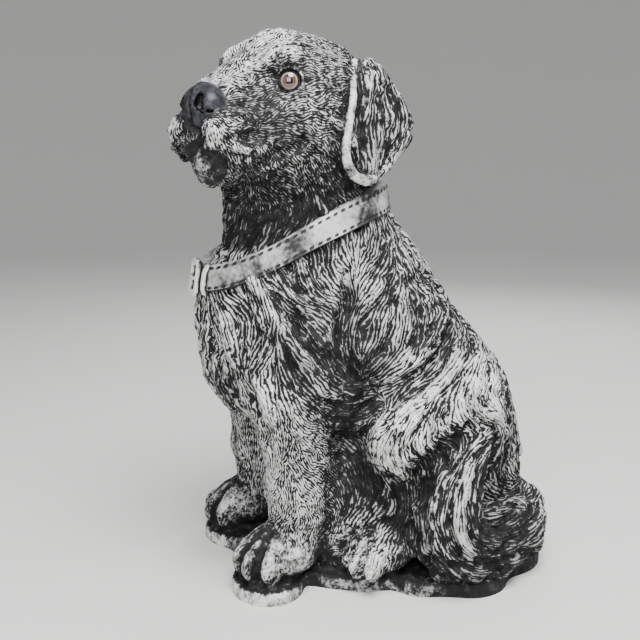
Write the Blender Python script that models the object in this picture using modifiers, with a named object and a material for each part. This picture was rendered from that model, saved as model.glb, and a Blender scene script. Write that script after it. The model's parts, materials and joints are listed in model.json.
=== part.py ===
"""Sitting puppy, a garden statue cast in concrete in one piece, with two domed eyes set into it.

The dog faces -Y and sits on a thin slab, +Z is up, and its own left side is +X. Lengths inside the
figure are shares of its height, called units here: there are UNITS_TALL of them from the ground to
the top of the head, so a unit is a centimetre on a statue of 48 cm. The clay is a field of blended
masses, whose value at a point is the distance to the skin. Each mass is also blocked out as balls,
which are remeshed into one body whose corners are then drawn on to the skin.
"""

import math

import bmesh
import bpy
import numpy as np
from mathutils import Euler, Matrix, Vector

# Driving dimensions, in metres
STATUE_HEIGHT = 0.48
SLAB_THICKNESS = 0.012
COLLAR_WIDTH = 0.023
COLLAR_THICKNESS = 0.0035
BUCKLE_WIDTH = 0.026
BUCKLE_HEIGHT = 0.035
BUCKLE_BAR = 0.006
EYE_DIAMETER = 0.020
EYE_CLEARANCE = 0.0003

# The figure's own measure, and how finely it is modelled
UNITS_TALL = 47.9
UNIT = STATUE_HEIGHT / UNITS_TALL
BLOCK_VOXEL = 0.40
SKIN_VOXEL = 0.27
TRIANGLES = 7400

# The head looks a little to the dog's left
HEAD_AT = (0.8, -7.2, 41.0)
HEAD_YAW = math.radians(26)
EYE_AT = np.array((3.8, -4.82, 2.39))
EYE_LOOKS = np.array((0.72, -0.69, 0.05))
EYE_RADIUS = EYE_DIAMETER / 2 / UNIT
LID_WIDTH = 0.13

# The collar's middle line round the neck: low at the buckle, high at the nape and a little at the sides
NECK_AXIS = (0.0, -7.0)
COLLAR_MIDDLE = 30.5
COLLAR_DROP = 3.5
COLLAR_SIDE_LIFT = 1.1
COLLAR_LEAN = 0.35
COLLAR_SUNK = 1.0
COLLAR_CHAMFER = 0.3
NARROWEST_NECK, WIDEST_NECK = 3.0, 14.0


class Frame:
    """Where a group of masses stands: its origin and its turn, in the statue's own axes."""

    def __init__(self, origin=(0, 0, 0), turn=(0, 0, 0)):
        self.origin = np.array(origin, float)
        self.rotation = np.array(Euler(turn, "XYZ").to_matrix(), float)

    def outward(self, points):
        return np.asarray(points, float) @ self.rotation.T + self.origin


BODY = Frame()
HEAD = Frame(HEAD_AT, (0, 0, HEAD_YAW))


def primitive(make, **settings):
    """Corners and faces of one of Blender's primitives."""
    mesh = bmesh.new()
    make(mesh, **settings)
    corners = np.array([vertex.co for vertex in mesh.verts])
    faces = [[vertex.index for vertex in face.verts] for face in mesh.faces]
    mesh.free()
    return corners, faces


BALL = primitive(bmesh.ops.create_icosphere, subdivisions=2, radius=1)
DISC = primitive(bmesh.ops.create_cone, cap_ends=True, segments=24, radius1=1, radius2=1, depth=1)


class Ball:
    """An ellipsoid. Its distance is the usual first-order estimate, exact on the skin."""

    def __init__(self, centre, radii, turn=(0, 0, 0), frame=BODY):
        own = Frame(centre, [math.radians(angle) for angle in turn])
        self.rotation = frame.rotation @ own.rotation
        self.centre = frame.outward([centre])[0]
        self.radii = np.array(radii, float)
        self.reach = self.radii.max()

    def distance(self, points):
        local = (points - self.centre) @ self.rotation / self.radii
        length = np.linalg.norm(local, axis=1)
        slope = np.linalg.norm(local / self.radii, axis=1) + 1e-9
        return length * (length - 1) / slope

    def blocks(self):
        corners, faces = BALL
        yield self.centre + (corners * self.radii) @ self.rotation.T, faces


class Limb:
    """A tapered round bar through several points, each with its own radius."""

    def __init__(self, path, radii, frame=BODY):
        self.path = frame.outward(path)
        self.radii = np.array(radii, float) * np.ones(len(self.path))
        self.centre = (self.path.min(0) + self.path.max(0)) / 2
        self.reach = (np.linalg.norm(self.path - self.centre, axis=1) + self.radii).max()

    def distance(self, points):
        found = np.full(len(points), 1e9)
        for a, b, ra, rb in zip(self.path, self.path[1:], self.radii, self.radii[1:]):
            along = b - a
            share = np.clip((points - a) @ along / (along @ along), 0, 1)
            from_axis = np.linalg.norm(points - a - share[:, None] * along, axis=1)
            found = np.minimum(found, from_axis - (ra + (rb - ra) * share))
        return found

    def blocks(self):
        corners, faces = BALL
        for a, b, ra, rb in zip(self.path, self.path[1:], self.radii, self.radii[1:]):
            steps = max(1, int(np.linalg.norm(b - a) / (0.5 * max(0.3, min(ra, rb)))))
            for share in np.linspace(0, 1, steps + 1):
                yield a + (b - a) * share + corners * (ra + (rb - ra) * share), faces


class Slab:
    """A thin plate with a rounded rim, whose plan is the blend of discs, each (x, y, radius)."""

    ROUNDING = 0.25
    SOFTNESS = 1.5

    def __init__(self, discs, bottom, top):
        self.discs = np.array(discs, float)
        self.bottom, self.top = bottom, top
        self.centre = np.array([*self.discs[:, :2].mean(0), (bottom + top) / 2])
        spread = np.linalg.norm(self.discs[:, :2] - self.centre[:2], axis=1) + self.discs[:, 2]
        self.reach = spread.max()

    def distance(self, points):
        plan = np.full(len(points), 50.0)
        for x, y, radius in self.discs:
            disc = np.hypot(points[:, 0] - x, points[:, 1] - y) - radius
            plan = blend(plan, disc, self.SOFTNESS)
        height = abs(points[:, 2] - self.centre[2]) - (self.top - self.bottom) / 2
        plan, height = plan + self.ROUNDING, height + self.ROUNDING
        outside = np.hypot(np.maximum(plan, 0), np.maximum(height, 0))
        return outside + np.minimum(np.maximum(plan, height), 0) - self.ROUNDING

    def blocks(self):
        corners, faces = DISC
        for x, y, radius in self.discs:
            yield corners * (radius, radius, self.top - self.bottom) + (x, y, self.centre[2]), faces


def blend(here, other, softness, is_cut=False):
    """The smaller of two distances, rounded where they are within softness of each other."""
    sign = -1 if is_cut else 1
    here = sign * here
    share = np.clip(0.5 + 0.5 * (here - other) / softness, 0, 1)
    return sign * (here + (other - here) * share - softness * share * (1 - share))


class Clay:
    """Masses added and hollows cut one after another, each blended over its own softness."""

    MARGIN = 2.0

    def __init__(self):
        self.steps = []

    def add(self, mass, softness=0.5):
        self.steps.append((mass, softness, False))

    def cut(self, mass, softness=0.3):
        self.steps.append((mass, softness, True))

    def steps_near(self, points):
        """Each step with the indices of the points that it can move."""
        found = []
        for mass, softness, is_cut in self.steps:
            square = ((points - mass.centre) ** 2).sum(1)
            near = np.flatnonzero(square < (mass.reach + softness + self.MARGIN) ** 2)
            if len(near):
                found.append((mass, softness, is_cut, near))
        return found

    def distance(self, points, steps=None):
        value = np.full(len(points), 50.0)
        for mass, softness, is_cut, near in steps or self.steps_near(points):
            value[near] = blend(value[near], mass.distance(points[near]), softness, is_cut)
        return value

    def normals(self, points, steps=None, step=0.03):
        """The gradient, from four samples at the corners of a small tetrahedron."""
        steps = steps or self.steps_near(points)
        total = np.zeros_like(points)
        for corner in ((1, 1, 1), (1, -1, -1), (-1, 1, -1), (-1, -1, 1)):
            total += np.outer(self.distance(points + np.array(corner) * step, steps), corner)
        return total / (4 * step)

    def draw_on(self, points, rounds=4, reach=0.6):
        """The points moved along the gradient until they lie on the skin."""
        steps = self.steps_near(points)
        for _ in range(rounds):
            slope = self.normals(points, steps)
            steepness = np.maximum((slope**2).sum(1), 0.25)
            step = np.clip(self.distance(points, steps) / steepness, -reach, reach)
            points = points - step[:, None] * slope
        return points


def mirrored(side, *points):
    return [(side * x, y, z) for x, y, z in points]


def flowing(path, count):
    """Points spread along a Catmull-Rom curve: each stretch is a cubic bent by its neighbours."""
    path = np.asarray(path, float)
    path = np.concatenate([2 * path[:1] - path[1:2], path, 2 * path[-1:] - path[-2:-1]])
    share = np.linspace(0, len(path) - 3 - 1e-9, count)
    first = share.astype(int)
    t = (share - first)[:, None]
    a, b, c, d = (path[first + k] for k in range(4))
    return b + 0.5 * t * (c - a + t * (2 * a - 5 * b + 4 * c - d + t * (3 * b - a - 3 * c + d)))


def drawn_line(clay, path, frame=BODY, count=9):
    """A flowing line through the points, pulled on to the skin."""
    return clay.draw_on(frame.outward(flowing(path, count)), 8, 1.0)


def groove(clay, path, width, depth, frame=BODY):
    """A round-bottomed furrow that runs out to nothing at both ends."""
    line = drawn_line(clay, path, frame, 2 * len(path) + 3)
    taper = np.sin(np.pi * np.linspace(0.08, 0.92, len(line))) ** 0.5
    line += clay.normals(line) * ((width / 2 - depth) * taper)[:, None]
    clay.cut(Limb(line, width / 2 * taper), 0.3)


def ridge(clay, path, width, frame=BODY):
    clay.add(Limb(drawn_line(clay, path, frame), width / 2), 0.25)


def lock(clay, path, width, rise=0.35, frame=BODY):
    """A lock of hair that swells from its root and runs out to a thin tip, standing out by its rise."""
    line = drawn_line(clay, path, frame)
    taper = np.sin(np.pi * np.linspace(0, 1, 9) ** 0.7)
    radii = 0.5 * width * np.maximum(taper, 0.15)
    clay.add(Limb(line + clay.normals(line) * (radii * (2 * rise - 1))[:, None], radii), 0.25)


def locks(clay, first, last, count, width, rise=0.35, frame=BODY):
    """Locks side by side, from one line of points to another."""
    first, last = np.array(first), np.array(last)
    for share in np.linspace(0, 1, count):
        lock(clay, first + (last - first) * share, width, rise, frame)


def trunk(clay):
    clay.add(Ball((0, -5.3, 22.0), (7.9, 8.6, 9.4)))
    spine = [(0.3, -7.0, 36.0), (0, -7.0, 32.6), (0, -5.5, 28.6), (0, 0.2, 19.4), (0, 4.5, 12.8),
             (0, 6.2, 8.0)]
    clay.add(Limb(spine, [6.3, 6.9, 7.4, 8.2, 9.1, 8.6]), 3.0)
    clay.add(Ball((0, -9.4, 23.0), (6.8, 7.2, 8.0)), 2.5)
    clay.add(Ball((-0.2, -10.6, 18.2), (4.9, 4.6, 4.4)), 2.0)
    clay.add(Ball((0, -3.2, 9.5), (5.6, 3.6, 9.5)), 2.0)


FORE_PAW, HIND_PAW = (6.2, -10.8), (8.7, -2.2)
FORE_TOES = [(-32, 2.3), (-4, 2.6), (24, 2.5), (52, 2.0)]
HIND_TOES = [(-40, 1.6), (-12, 2.1), (16, 2.2), (44, 1.9)]


def round_paw(side, paw, angle, reach, height):
    """A place round a paw, by its angle outwards from straight ahead."""
    angle = math.radians(angle)
    return side * (paw[0] + reach * math.sin(angle)), paw[1] - reach * math.cos(angle), height


def toes(clay, side, paw, places, radii):
    for angle, reach in places:
        middle = round_paw(side, paw, angle, reach, radii[2] + 1.15)
        clay.add(Ball(middle, radii, (0, 0, side * angle)), 0.25)


def haunch(clay, side):
    clay.add(Ball((side * 5.8, 3.9, 13.6), (5.6, 6.9, 7.0), (-20, 0, 0)), 2.0)
    clay.add(Limb(mirrored(side, (7.0, 2.2, 13.8), (8.8, -0.3, 13.7)), [4.9, 3.6]), 1.6)
    clay.add(Limb(mirrored(side, (8.6, 0.8, 10.8), (8.3, 2.6, 4.6)), [2.6, 2.2]), 1.2)
    clay.add(Ball((side * HIND_PAW[0], HIND_PAW[1], 3.5), (2.3, 3.0, 2.1)), 0.8)
    toes(clay, side, HIND_PAW, HIND_TOES, (0.75, 1.5, 1.35))
    clay.add(Ball((side * 7.8, -1.4, 6.6), (2.3, 2.6, 2.8)), 1.0)
    clay.add(Ball((side * 4.4, -4.5, 6.5), (3.2, 4.8, 9.0)), 1.5)


def foreleg(clay, side):
    clay.add(Ball((side * 5.2, -8.4, 20.0), (4.0, 5.6, 6.8)), 2.0)
    leg = mirrored(side, (5.9, -9.6, 17.0), (6.0, -9.3, 12.5), (6.0, -9.1, 7.0))
    clay.add(Limb(leg, [3.9, 3.0, 2.7]), 1.2)
    clay.add(Ball((side * 6.1, -9.9, 9.3), (2.5, 2.3, 1.7)), 0.8)
    clay.add(Ball((side * FORE_PAW[0], FORE_PAW[1], 3.6), (2.9, 3.4, 2.4)), 1.0)
    toes(clay, side, FORE_PAW, FORE_TOES, (1.0, 1.8, 1.75))


def tail(clay):
    bone = [(0.5, 12.4, 4.2), (5.0, 12.7, 3.9), (8.8, 9.9, 3.4), (10.7, 6.0, 3.1), (11.1, 3.0, 4.2),
            (11.2, 2.5, 8.0), (11.2, 3.8, 11.0), (11.2, 5.4, 13.2)]
    clay.add(Limb(bone, [2.6, 2.9, 3.0, 3.0, 3.0, 2.7, 2.1, 1.1]), 0.8)


def slab(clay):
    discs = [(5.4, -11.9, 3.05), (7.0, -12.2, 2.6), (-5.4, -11.6, 3.0), (-7.0, -12.2, 2.6), (0, -8.0, 5.5),
             (5.0, -5.5, 3.2), (6.5, -3.0, 3.2), (9.0, 1.5, 3.2), (10.0, 5.2, 3.6), (-5.0, -5.5, 3.2),
             (-6.5, -3.0, 3.2), (-7.6, 3.0, 4.2), (5.6, 9.2, 5.2), (-4.5, 9.2, 5.4), (0, 4.0, 9.0)]
    clay.add(Slab(discs, -1.0, SLAB_THICKNESS / UNIT), 0.35)


def skull(clay):
    clay.add(Ball((0, -0.2, 1.15), (5.9, 6.5, 5.5), (-9, 0, 0), HEAD), 2.0)
    clay.add(Ball((0, -3.0, 2.9), (4.4, 3.1, 3.7), frame=HEAD), 1.5)
    clay.add(Ball((0, -6.9, -1.2), (3.5, 4.0, 3.9), (-10, 0, 0), HEAD), 1.5)
    clay.add(Limb([(0, -5.6, 2.8), (0, -9.6, 1.0)], [2.3, 1.75], HEAD), 1.0)
    clay.add(Ball((0, -8.8, -3.9), (2.5, 2.5, 2.1), frame=HEAD), 0.3)
    for side in (1, -1):
        clay.add(Ball((side * 3.7, -2.6, -2.0), (2.7, 4.9, 4.1), frame=HEAD), 2.0)
        clay.add(Ball((side * 2.1, -9.1, -1.8), (2.0, 3.1, 2.3), frame=HEAD), 0.5)
        clay.add(Ball((side * 2.9, -7.6, -3.2), (1.5, 2.9, 1.9), frame=HEAD), 0.8)


NOSE = [Ball((0, -10.6, 0.65), (2.05, 1.4, 1.55), (-8, 0, 0), HEAD),
        Ball((0, -10.9, -0.5), (1.25, 1.0, 1.0), frame=HEAD),
        Ball((1.2, -10.7, 0.35), (0.95, 1.2, 1.1), frame=HEAD),
        Ball((-1.2, -10.7, 0.35), (0.95, 1.2, 1.1), frame=HEAD)]


def nose(clay):
    for mass, softness in zip(NOSE, (0.2, 0.4, 0.4, 0.4)):
        clay.add(mass, softness)
    for side in (1, -1):
        nostril = mirrored(side, (1.15, -11.75, 0.75), (1.2, -11.7, 0.5), (1.75, -11.35, 0.1),
                           (2.15, -10.8, 0.0))
        clay.cut(Limb(nostril, [0.52, 0.48, 0.28, 0.14], HEAD), 0.1)
    groove(clay, [(0, -11.8, 1.7), (0, -12.1, 0.6), (0, -12.0, -0.5), (0, -11.7, -1.4), (0, -11.4, -2.0)],
           0.36, 0.28, HEAD)


def mouth(clay, side):
    """The parting of the lips, and the folds and pockets of a smiling cheek."""
    groove(clay, mirrored(side, (0.3, -12.0, -1.6), (1.5, -11.8, -2.1), (2.1, -11.5, -3.0),
                          (2.5, -10.9, -3.9), (3.2, -9.6, -4.6), (3.9, -8.0, -4.9),
                          (4.3, -6.4, -4.8)), 0.6, 0.45, HEAD)
    groove(clay, mirrored(side, (3.3, -9.4, -3.7), (4.0, -7.9, -4.0), (4.3, -6.8, -3.4), (4.5, -6.4, -2.4)),
           0.9, 0.3, HEAD)
    ridge(clay, mirrored(side, (3.2, -10.3, -2.5), (3.7, -8.9, -2.9), (4.0, -7.8, -2.7), (4.2, -7.2, -2.1)),
          0.9, HEAD)
    groove(clay, mirrored(side, (3.5, -10.2, -1.9), (3.8, -9.2, -1.95), (4.1, -8.1, -1.8)), 1.0, 0.45, HEAD)
    ridge(clay, mirrored(side, (4.0, -8.2, -4.4), (4.3, -6.9, -4.0), (4.8, -5.5, -3.4), (5.1, -4.4, -2.4)),
          0.9, HEAD)
    groove(clay, mirrored(side, (4.6, -6.2, -3.0), (4.9, -5.4, -2.6), (5.1, -4.8, -1.9)), 0.9, 0.4, HEAD)
    groove(clay, mirrored(side, (3.9, -7.2, -5.3), (4.2, -6.0, -5.5), (4.4, -4.8, -5.4)), 0.9, 0.35, HEAD)
    ridge(clay, mirrored(side, (3.9, -8.0, -5.7), (4.0, -6.2, -6.2), (4.2, -4.5, -6.4), (4.6, -4.0, -5.6)),
          0.45, HEAD)


def lid_line(side):
    """The ring of the lids round one eye."""
    looks = EYE_LOOKS * (side, 1, 1) / np.linalg.norm(EYE_LOOKS)
    across = np.cross(looks, (0, 0, 1))
    across /= np.linalg.norm(across)
    above = np.cross(across, looks)
    turns = np.linspace(0, 2 * math.pi, 17)[:, None]
    ring = (EYE_RADIUS + 0.1) * (np.cos(turns) * across + np.sin(turns) * above)
    return EYE_AT * (side, 1, 1) + (0.4 + 0.12 * np.sin(turns)) * looks + ring, looks


def brow_and_eye(clay, side):
    line, looks = lid_line(side)
    clay.add(Ball((side * 2.9, -4.6, 4.1), (1.9, 1.7, 1.3), frame=HEAD), 0.8)
    clay.cut(Ball(EYE_AT * (side, 1, 1) + 1.95 * looks, (1.7, 1.7, 1.7), frame=HEAD), 0.7)
    clay.add(Limb(line, LID_WIDTH, HEAD), 0.15)
    groove(clay, mirrored(side, (3.6, -6.6, 2.8), (3.5, -6.8, 3.9), (3.5, -6.1, 4.8), (3.7, -4.4, 5.4),
                          (4.2, -2.7, 5.3)), 0.8, 0.25, HEAD)


def ear_rim(side):
    front = flowing(mirrored(side, (5.7, 0.6, 4.0), (6.6, -0.5, 1.0), (7.0, -1.5, -1.8), (7.2, -1.8, -3.6),
                             (7.3, -1.0, -5.0), (7.3, 0.4, -5.5)), 22)
    back = flowing(mirrored(side, (7.3, 0.4, -5.5), (7.3, 2.1, -5.1), (7.2, 4.6, -3.2), (7.0, 6.3, -1.0),
                            (6.5, 6.1, 0.5), (6.2, 4.9, 2.0), (5.6, 3.2, 3.5)), 24)
    return Limb(front, np.linspace(0.32, 0.46, 22), HEAD), Limb(back, 0.32, HEAD)


def ear(clay, side):
    """A hanging leaf: a thin blade with a rounded edge that lies on the cheek and flares at the back."""
    clay.add(Ball((side * 5.3, 1.8, 2.8), (1.2, 2.5, 1.7), frame=HEAD), 0.8)
    clay.add(Ball((side * 6.4, 2.4, -0.7), (0.85, 3.0, 4.7), frame=HEAD), 0.6)
    clay.add(Ball((side * 6.8, 1.4, -3.1), (0.75, 2.9, 2.5), frame=HEAD), 0.6)
    clay.add(Ball((side * 6.7, 4.2, -1.0), (0.75, 2.6, 2.4), frame=HEAD), 0.6)
    for edge in ear_rim(side):
        clay.add(edge, 0.25)


def coat(clay, side):
    """The big locks and partings of one side, the same on both."""
    groove(clay, mirrored(side, (8.2, -5.5, 28.0), (8.2, -5.4, 25.8), (8.2, -6.0, 23.7), (8.0, -6.2, 21.9),
                          (8.2, -5.1, 19.7), (9.0, -3.2, 18.7)), 2.0, 0.9)
    lock(clay, mirrored(side, (5.5, -12, 29), (6.5, -11, 27), (7.5, -10, 25.5), (8.5, -8, 25)), 2.4, 0.3)
    lock(clay, mirrored(side, (6.8, -9.5, 29), (7.4, -9, 27.5), (8, -8, 26.3), (8.4, -7, 25.8)), 1.8, 0.3)
    lock(clay, mirrored(side, (5, -13, 28), (6, -12.5, 26), (7.5, -12, 24), (7.8, -12.3, 22),
                        (7, -13.3, 20)), 2.6, 0.25)
    lock(clay, mirrored(side, (7.5, -11.3, 24), (8.5, -10.6, 22.6), (9, -9.3, 21.2), (9.2, -7.4, 19)),
         2.0, 0.3)
    lock(clay, mirrored(side, (8, -9.8, 24.4), (8.8, -8.8, 23.4), (9.1, -7.6, 21.6), (9.2, -7, 20)),
         1.6, 0.3)
    lock(clay, mirrored(side, (3, -15.5, 26), (4.6, -14.8, 23.5), (5.4, -14.6, 21), (5.2, -14.4, 18)),
         2.2, 0.25)
    locks(clay, mirrored(side, (8.4, -6.6, 18.6), (8.4, -5.0, 17.9), (8.0, -3.0, 18.3)),
          mirrored(side, (8.4, -6.6, 14.9), (8.4, -5.0, 14.6), (8.0, -3.3, 15.2)), 4, 1.5, 0.5)
    groove(clay, mirrored(side, (5.8, 5.8, 22.4), (7.8, 3.6, 21.2), (8.7, 2.4, 19.9), (9.2, 0.6, 18.6),
                          (9.5, -1.2, 17.6), (9.8, -2.6, 16.4)), 1.5, 0.6)
    lock(clay, mirrored(side, (6, 4.4, 23), (7.6, 2.8, 21.8), (8.4, 1.2, 20.6), (8.8, -0.6, 19.4),
                        (8.8, -2.4, 18.4)), 1.8, 0.3)
    lock(clay, mirrored(side, (10.6, 1, 17.2), (11, -1.6, 16.4), (11, -2.8, 15), (10.2, -3.6, 13.4),
                        (9.6, -2.9, 11), (10.6, -1.2, 9.8)), 1.6, 0.3)
    lock(clay, mirrored(side, (11, 0.4, 16.8), (11.6, -1.4, 15.4), (11.8, -2.2, 13.6), (12, -1.2, 12.2),
                        (12, 0.6, 12)), 1.6, 0.3)
    lock(clay, mirrored(side, (11.2, 1, 16.4), (12, 0, 15), (12.3, 0, 13.8), (12, 1.8, 13),
                        (11.7, 3.2, 13.2)), 1.5, 0.3)
    lock(clay, mirrored(side, (10.8, 2.6, 17), (11.6, 1.6, 15.6), (11.9, 2.2, 14.4), (11.6, 4.2, 14.4)),
         1.4, 0.3)
    lock(clay, mirrored(side, (10, 4.6, 17.8), (11, 4, 16.4), (11.2, 4.8, 15.2), (10.8, 6.6, 15)), 1.5, 0.3)
    lock(clay, mirrored(side, (9.2, 6.4, 18), (10.6, 5.6, 16.6), (10.8, 6.4, 15.4), (10, 8.4, 15)),
         1.6, 0.35)


def edges(clay, side):
    """The dark edges of the forms: under the knee, between the toes and down the flank."""
    groove(clay, mirrored(side, (10.0, -3.4, 10.6), (10.7, -2.4, 9.4), (11.0, -0.6, 8.7), (11.0, 1.0, 8.6)),
           1.6, 0.7)
    for paw, places, top in ((FORE_PAW, FORE_TOES, 5.6), (HIND_PAW, HIND_TOES, 4.8)):
        for (angle, reach), (next_angle, next_reach) in zip(places, places[1:]):
            way, out = (angle + next_angle) / 2, (reach + next_reach) / 2
            path = [(out - 1.4, top), (out + 0.3, top - 0.9), (out + 1.4, top - 2.6), (out + 1.5, 1.6)]
            groove(clay, [round_paw(side, paw, way, out, height) for out, height in path], 0.5, 0.42)


def tail_edges(clay):
    groove(clay, [(11.4, 3.2, 14.0), (11.8, 1.4, 12.6), (12.0, -0.5, 9.8), (12.2, -1.1, 6.5),
                  (12.2, -0.2, 3.4)], 1.8, 0.9)
    groove(clay, [(10.6, 7.0, 13.6), (11.4, 6.0, 11.4), (11.6, 6.2, 9.2), (11.4, 8.0, 7.4),
                  (10.0, 10.4, 7.2)], 1.5, 0.9)


def chest_tufts(clay):
    locks(clay, [(-4.0, -14.4, 21.5), (-3.4, -14.4, 18.0), (-2.4, -13.4, 15.2)],
          [(4.0, -14.4, 21.5), (3.2, -14.4, 18.0), (2.2, -13.4, 15.0)], 5, 1.8, 0.25)


def tail_locks(clay):
    outer = [(11.6, 6.1, 13.7), (12.6, 3.0, 12.6), (13.2, 0.6, 10.0), (13.6, 0.0, 6.0), (13.7, 1.8, 2.8),
             (13.0, 6.0, 1.8), (10.5, 11.0, 1.9), (6.5, 14.8, 2.6)]
    inner = [(11.6, 6.4, 13.0), (12.4, 5.6, 11.2), (12.8, 4.9, 9.0), (13.2, 4.9, 6.8), (13.0, 6.2, 5.4),
             (11.8, 8.4, 5.0), (9.5, 11.6, 5.2), (5.5, 14.2, 6.0)]
    locks(clay, outer, inner, 5, 1.5, 0.3)


def bare_dog():
    """The whole clay but for the locks of hair: the collar is fitted to this."""
    clay = Clay()
    trunk(clay)
    for side in (1, -1):
        haunch(clay, side)
        foreleg(clay, side)
    tail(clay)
    slab(clay)
    skull(clay)
    nose(clay)
    for side in (1, -1):
        mouth(clay, side)
        brow_and_eye(clay, side)
        ear(clay, side)
    return clay


def whole_dog():
    clay = bare_dog()
    for side in (1, -1):
        coat(clay, side)
        edges(clay, side)
    chest_tufts(clay)
    tail_locks(clay)
    tail_edges(clay)
    return clay


def clear_scene():
    for obj in list(bpy.data.objects):
        bpy.data.objects.remove(obj)


def block_out(clay):
    """Every added mass, roughly, in one loose mesh."""
    corners, faces, count = [], [], 0
    for mass, _, is_cut in clay.steps:
        if is_cut:
            continue
        for block, block_faces in mass.blocks():
            corners.append(block)
            faces += [[corner + count for corner in face] for face in block_faces]
            count += len(block)
    data = bpy.data.meshes.new("blocks")
    data.from_pydata(np.concatenate(corners), [], faces)
    return data


def coordinates(data):
    flat = np.empty(len(data.vertices) * 3, np.float32)
    data.vertices.foreach_get("co", flat)
    return flat.reshape(-1, 3).astype(float)


def finished(data, kind, **settings):
    """The mesh after one modifier."""
    obj = bpy.data.objects.new("in_work", data)
    bpy.context.scene.collection.objects.link(obj)
    modifier = obj.modifiers.new(kind, kind)
    for name, value in settings.items():
        setattr(modifier, name, value)
    graph = bpy.context.evaluated_depsgraph_get()
    graph.update()
    result = bpy.data.meshes.new_from_object(obj.evaluated_get(graph))
    bpy.data.objects.remove(obj)
    return result


def keep_outer_skin(data):
    """The small closed pockets that the remesh leaves between masses, taken out."""
    mesh = bmesh.new()
    mesh.from_mesh(data)
    shells, unseen = [], set(mesh.verts)
    while unseen:
        shell, waiting = [], [unseen.pop()]
        while waiting:
            corner = waiting.pop()
            shell.append(corner)
            for edge in corner.link_edges:
                other = edge.other_vert(corner)
                if other in unseen:
                    unseen.remove(other)
                    waiting.append(other)
        shells.append(shell)
    shells.sort(key=len)
    pockets = [corner for shell in shells[:-1] for corner in shell]
    bmesh.ops.delete(mesh, geom=pockets, context="VERTS")
    mesh.to_mesh(data)
    mesh.free()


def modelled_skin(clay):
    data = block_out(clay)
    for voxel in (BLOCK_VOXEL, SKIN_VOXEL):
        data = finished(data, "REMESH", mode="VOXEL", voxel_size=voxel)
        keep_outer_skin(data)
        points = clay.draw_on(coordinates(data))
        data.vertices.foreach_set("co", points.astype(np.float32).ravel())
    return data


def stood_on_the_ground(data):
    """The underside cut off flat at the ground, and closed."""
    mesh = bmesh.new()
    mesh.from_mesh(data)
    whole = mesh.verts[:] + mesh.edges[:] + mesh.faces[:]
    bmesh.ops.bisect_plane(mesh, geom=whole, plane_co=(0, 0, 0), plane_no=(0, 0, 1),
                           clear_inner=True, dist=1e-5)
    rim = [edge for edge in mesh.edges if edge.is_boundary]
    bmesh.ops.triangle_fill(mesh, edges=rim, use_dissolve=False, use_beauty=True)
    bmesh.ops.recalc_face_normals(mesh, faces=mesh.faces[:])
    bmesh.ops.triangulate(mesh, faces=mesh.faces[:])
    mesh.to_mesh(data)
    mesh.free()


def collar_line(turns):
    """Height of the collar's middle at each turn round the neck, from 0 at the buckle."""
    return COLLAR_MIDDLE - COLLAR_DROP * np.cos(turns) + COLLAR_SIDE_LIFT * np.sin(turns) ** 2


def neck_radius(clay, turns, heights):
    """How far out the skin is from the neck's axis, by halving, and evened out like a taut strap."""
    ways = np.stack([np.sin(turns), -np.cos(turns), np.zeros_like(turns)], 1)
    axis = np.stack([np.full_like(turns, NECK_AXIS[0]), np.full_like(turns, NECK_AXIS[1]), heights], 1)
    inner, outer = np.full_like(turns, NARROWEST_NECK), np.full_like(turns, WIDEST_NECK)
    for _ in range(20):
        middle = (inner + outer) / 2
        inside = clay.distance(axis + ways * middle[:, None]) < 0
        inner, outer = np.where(inside, middle, inner), np.where(inside, outer, middle)
    for _ in range(6):
        outer = (np.roll(outer, 1) + 2 * outer + np.roll(outer, -1)) / 4
    return outer


def strap(clay, segments=56):
    """The collar: a chamfered band carried round the neck on the skin, as one closed ring."""
    turns = np.arange(segments) * 2 * math.pi / segments
    half, thick = COLLAR_WIDTH / UNIT / 2, COLLAR_THICKNESS / UNIT
    chamfer = COLLAR_CHAMFER * thick
    profile = [(-half, -COLLAR_SUNK), (-half, thick - chamfer), (-half + chamfer, thick), (half - chamfer, thick),
               (half, thick - chamfer), (half, -COLLAR_SUNK)]
    middle = collar_line(turns)
    low, high = neck_radius(clay, turns, middle - half), neck_radius(clay, turns, middle + half)
    high = np.maximum(high, low - COLLAR_LEAN)
    rings = []
    for rise, proud in profile:
        share = 0.5 + rise / (2 * half)
        radius = low + (high - low) * share + proud
        rings.append(np.stack([NECK_AXIS[0] + radius * np.sin(turns), NECK_AXIS[1] - radius * np.cos(turns),
                               middle + rise], 1))
    return loft(np.array(rings))


def loft(rings):
    """A closed ring of quads between profiles that stand side by side."""
    rows, columns = rings.shape[:2]
    row, column = np.meshgrid(np.arange(rows), np.arange(columns), indexing="ij")
    next_row, next_column = (row + 1) % rows, (column + 1) % columns
    faces = np.stack([row * columns + column, row * columns + next_column, next_row * columns + next_column,
                      next_row * columns + column], -1).reshape(-1, 4)
    data = bpy.data.meshes.new("strap")
    data.from_pydata(rings.reshape(-1, 3), [], faces.tolist())
    return data


def box(size, centre, tilt=0.0):
    corners, faces = primitive(bmesh.ops.create_cube, size=1)
    turned = Frame(centre, (tilt, 0, 0)).outward(corners * size)
    data = bpy.data.meshes.new("box")
    data.from_pydata(turned, [], faces)
    return data


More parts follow.
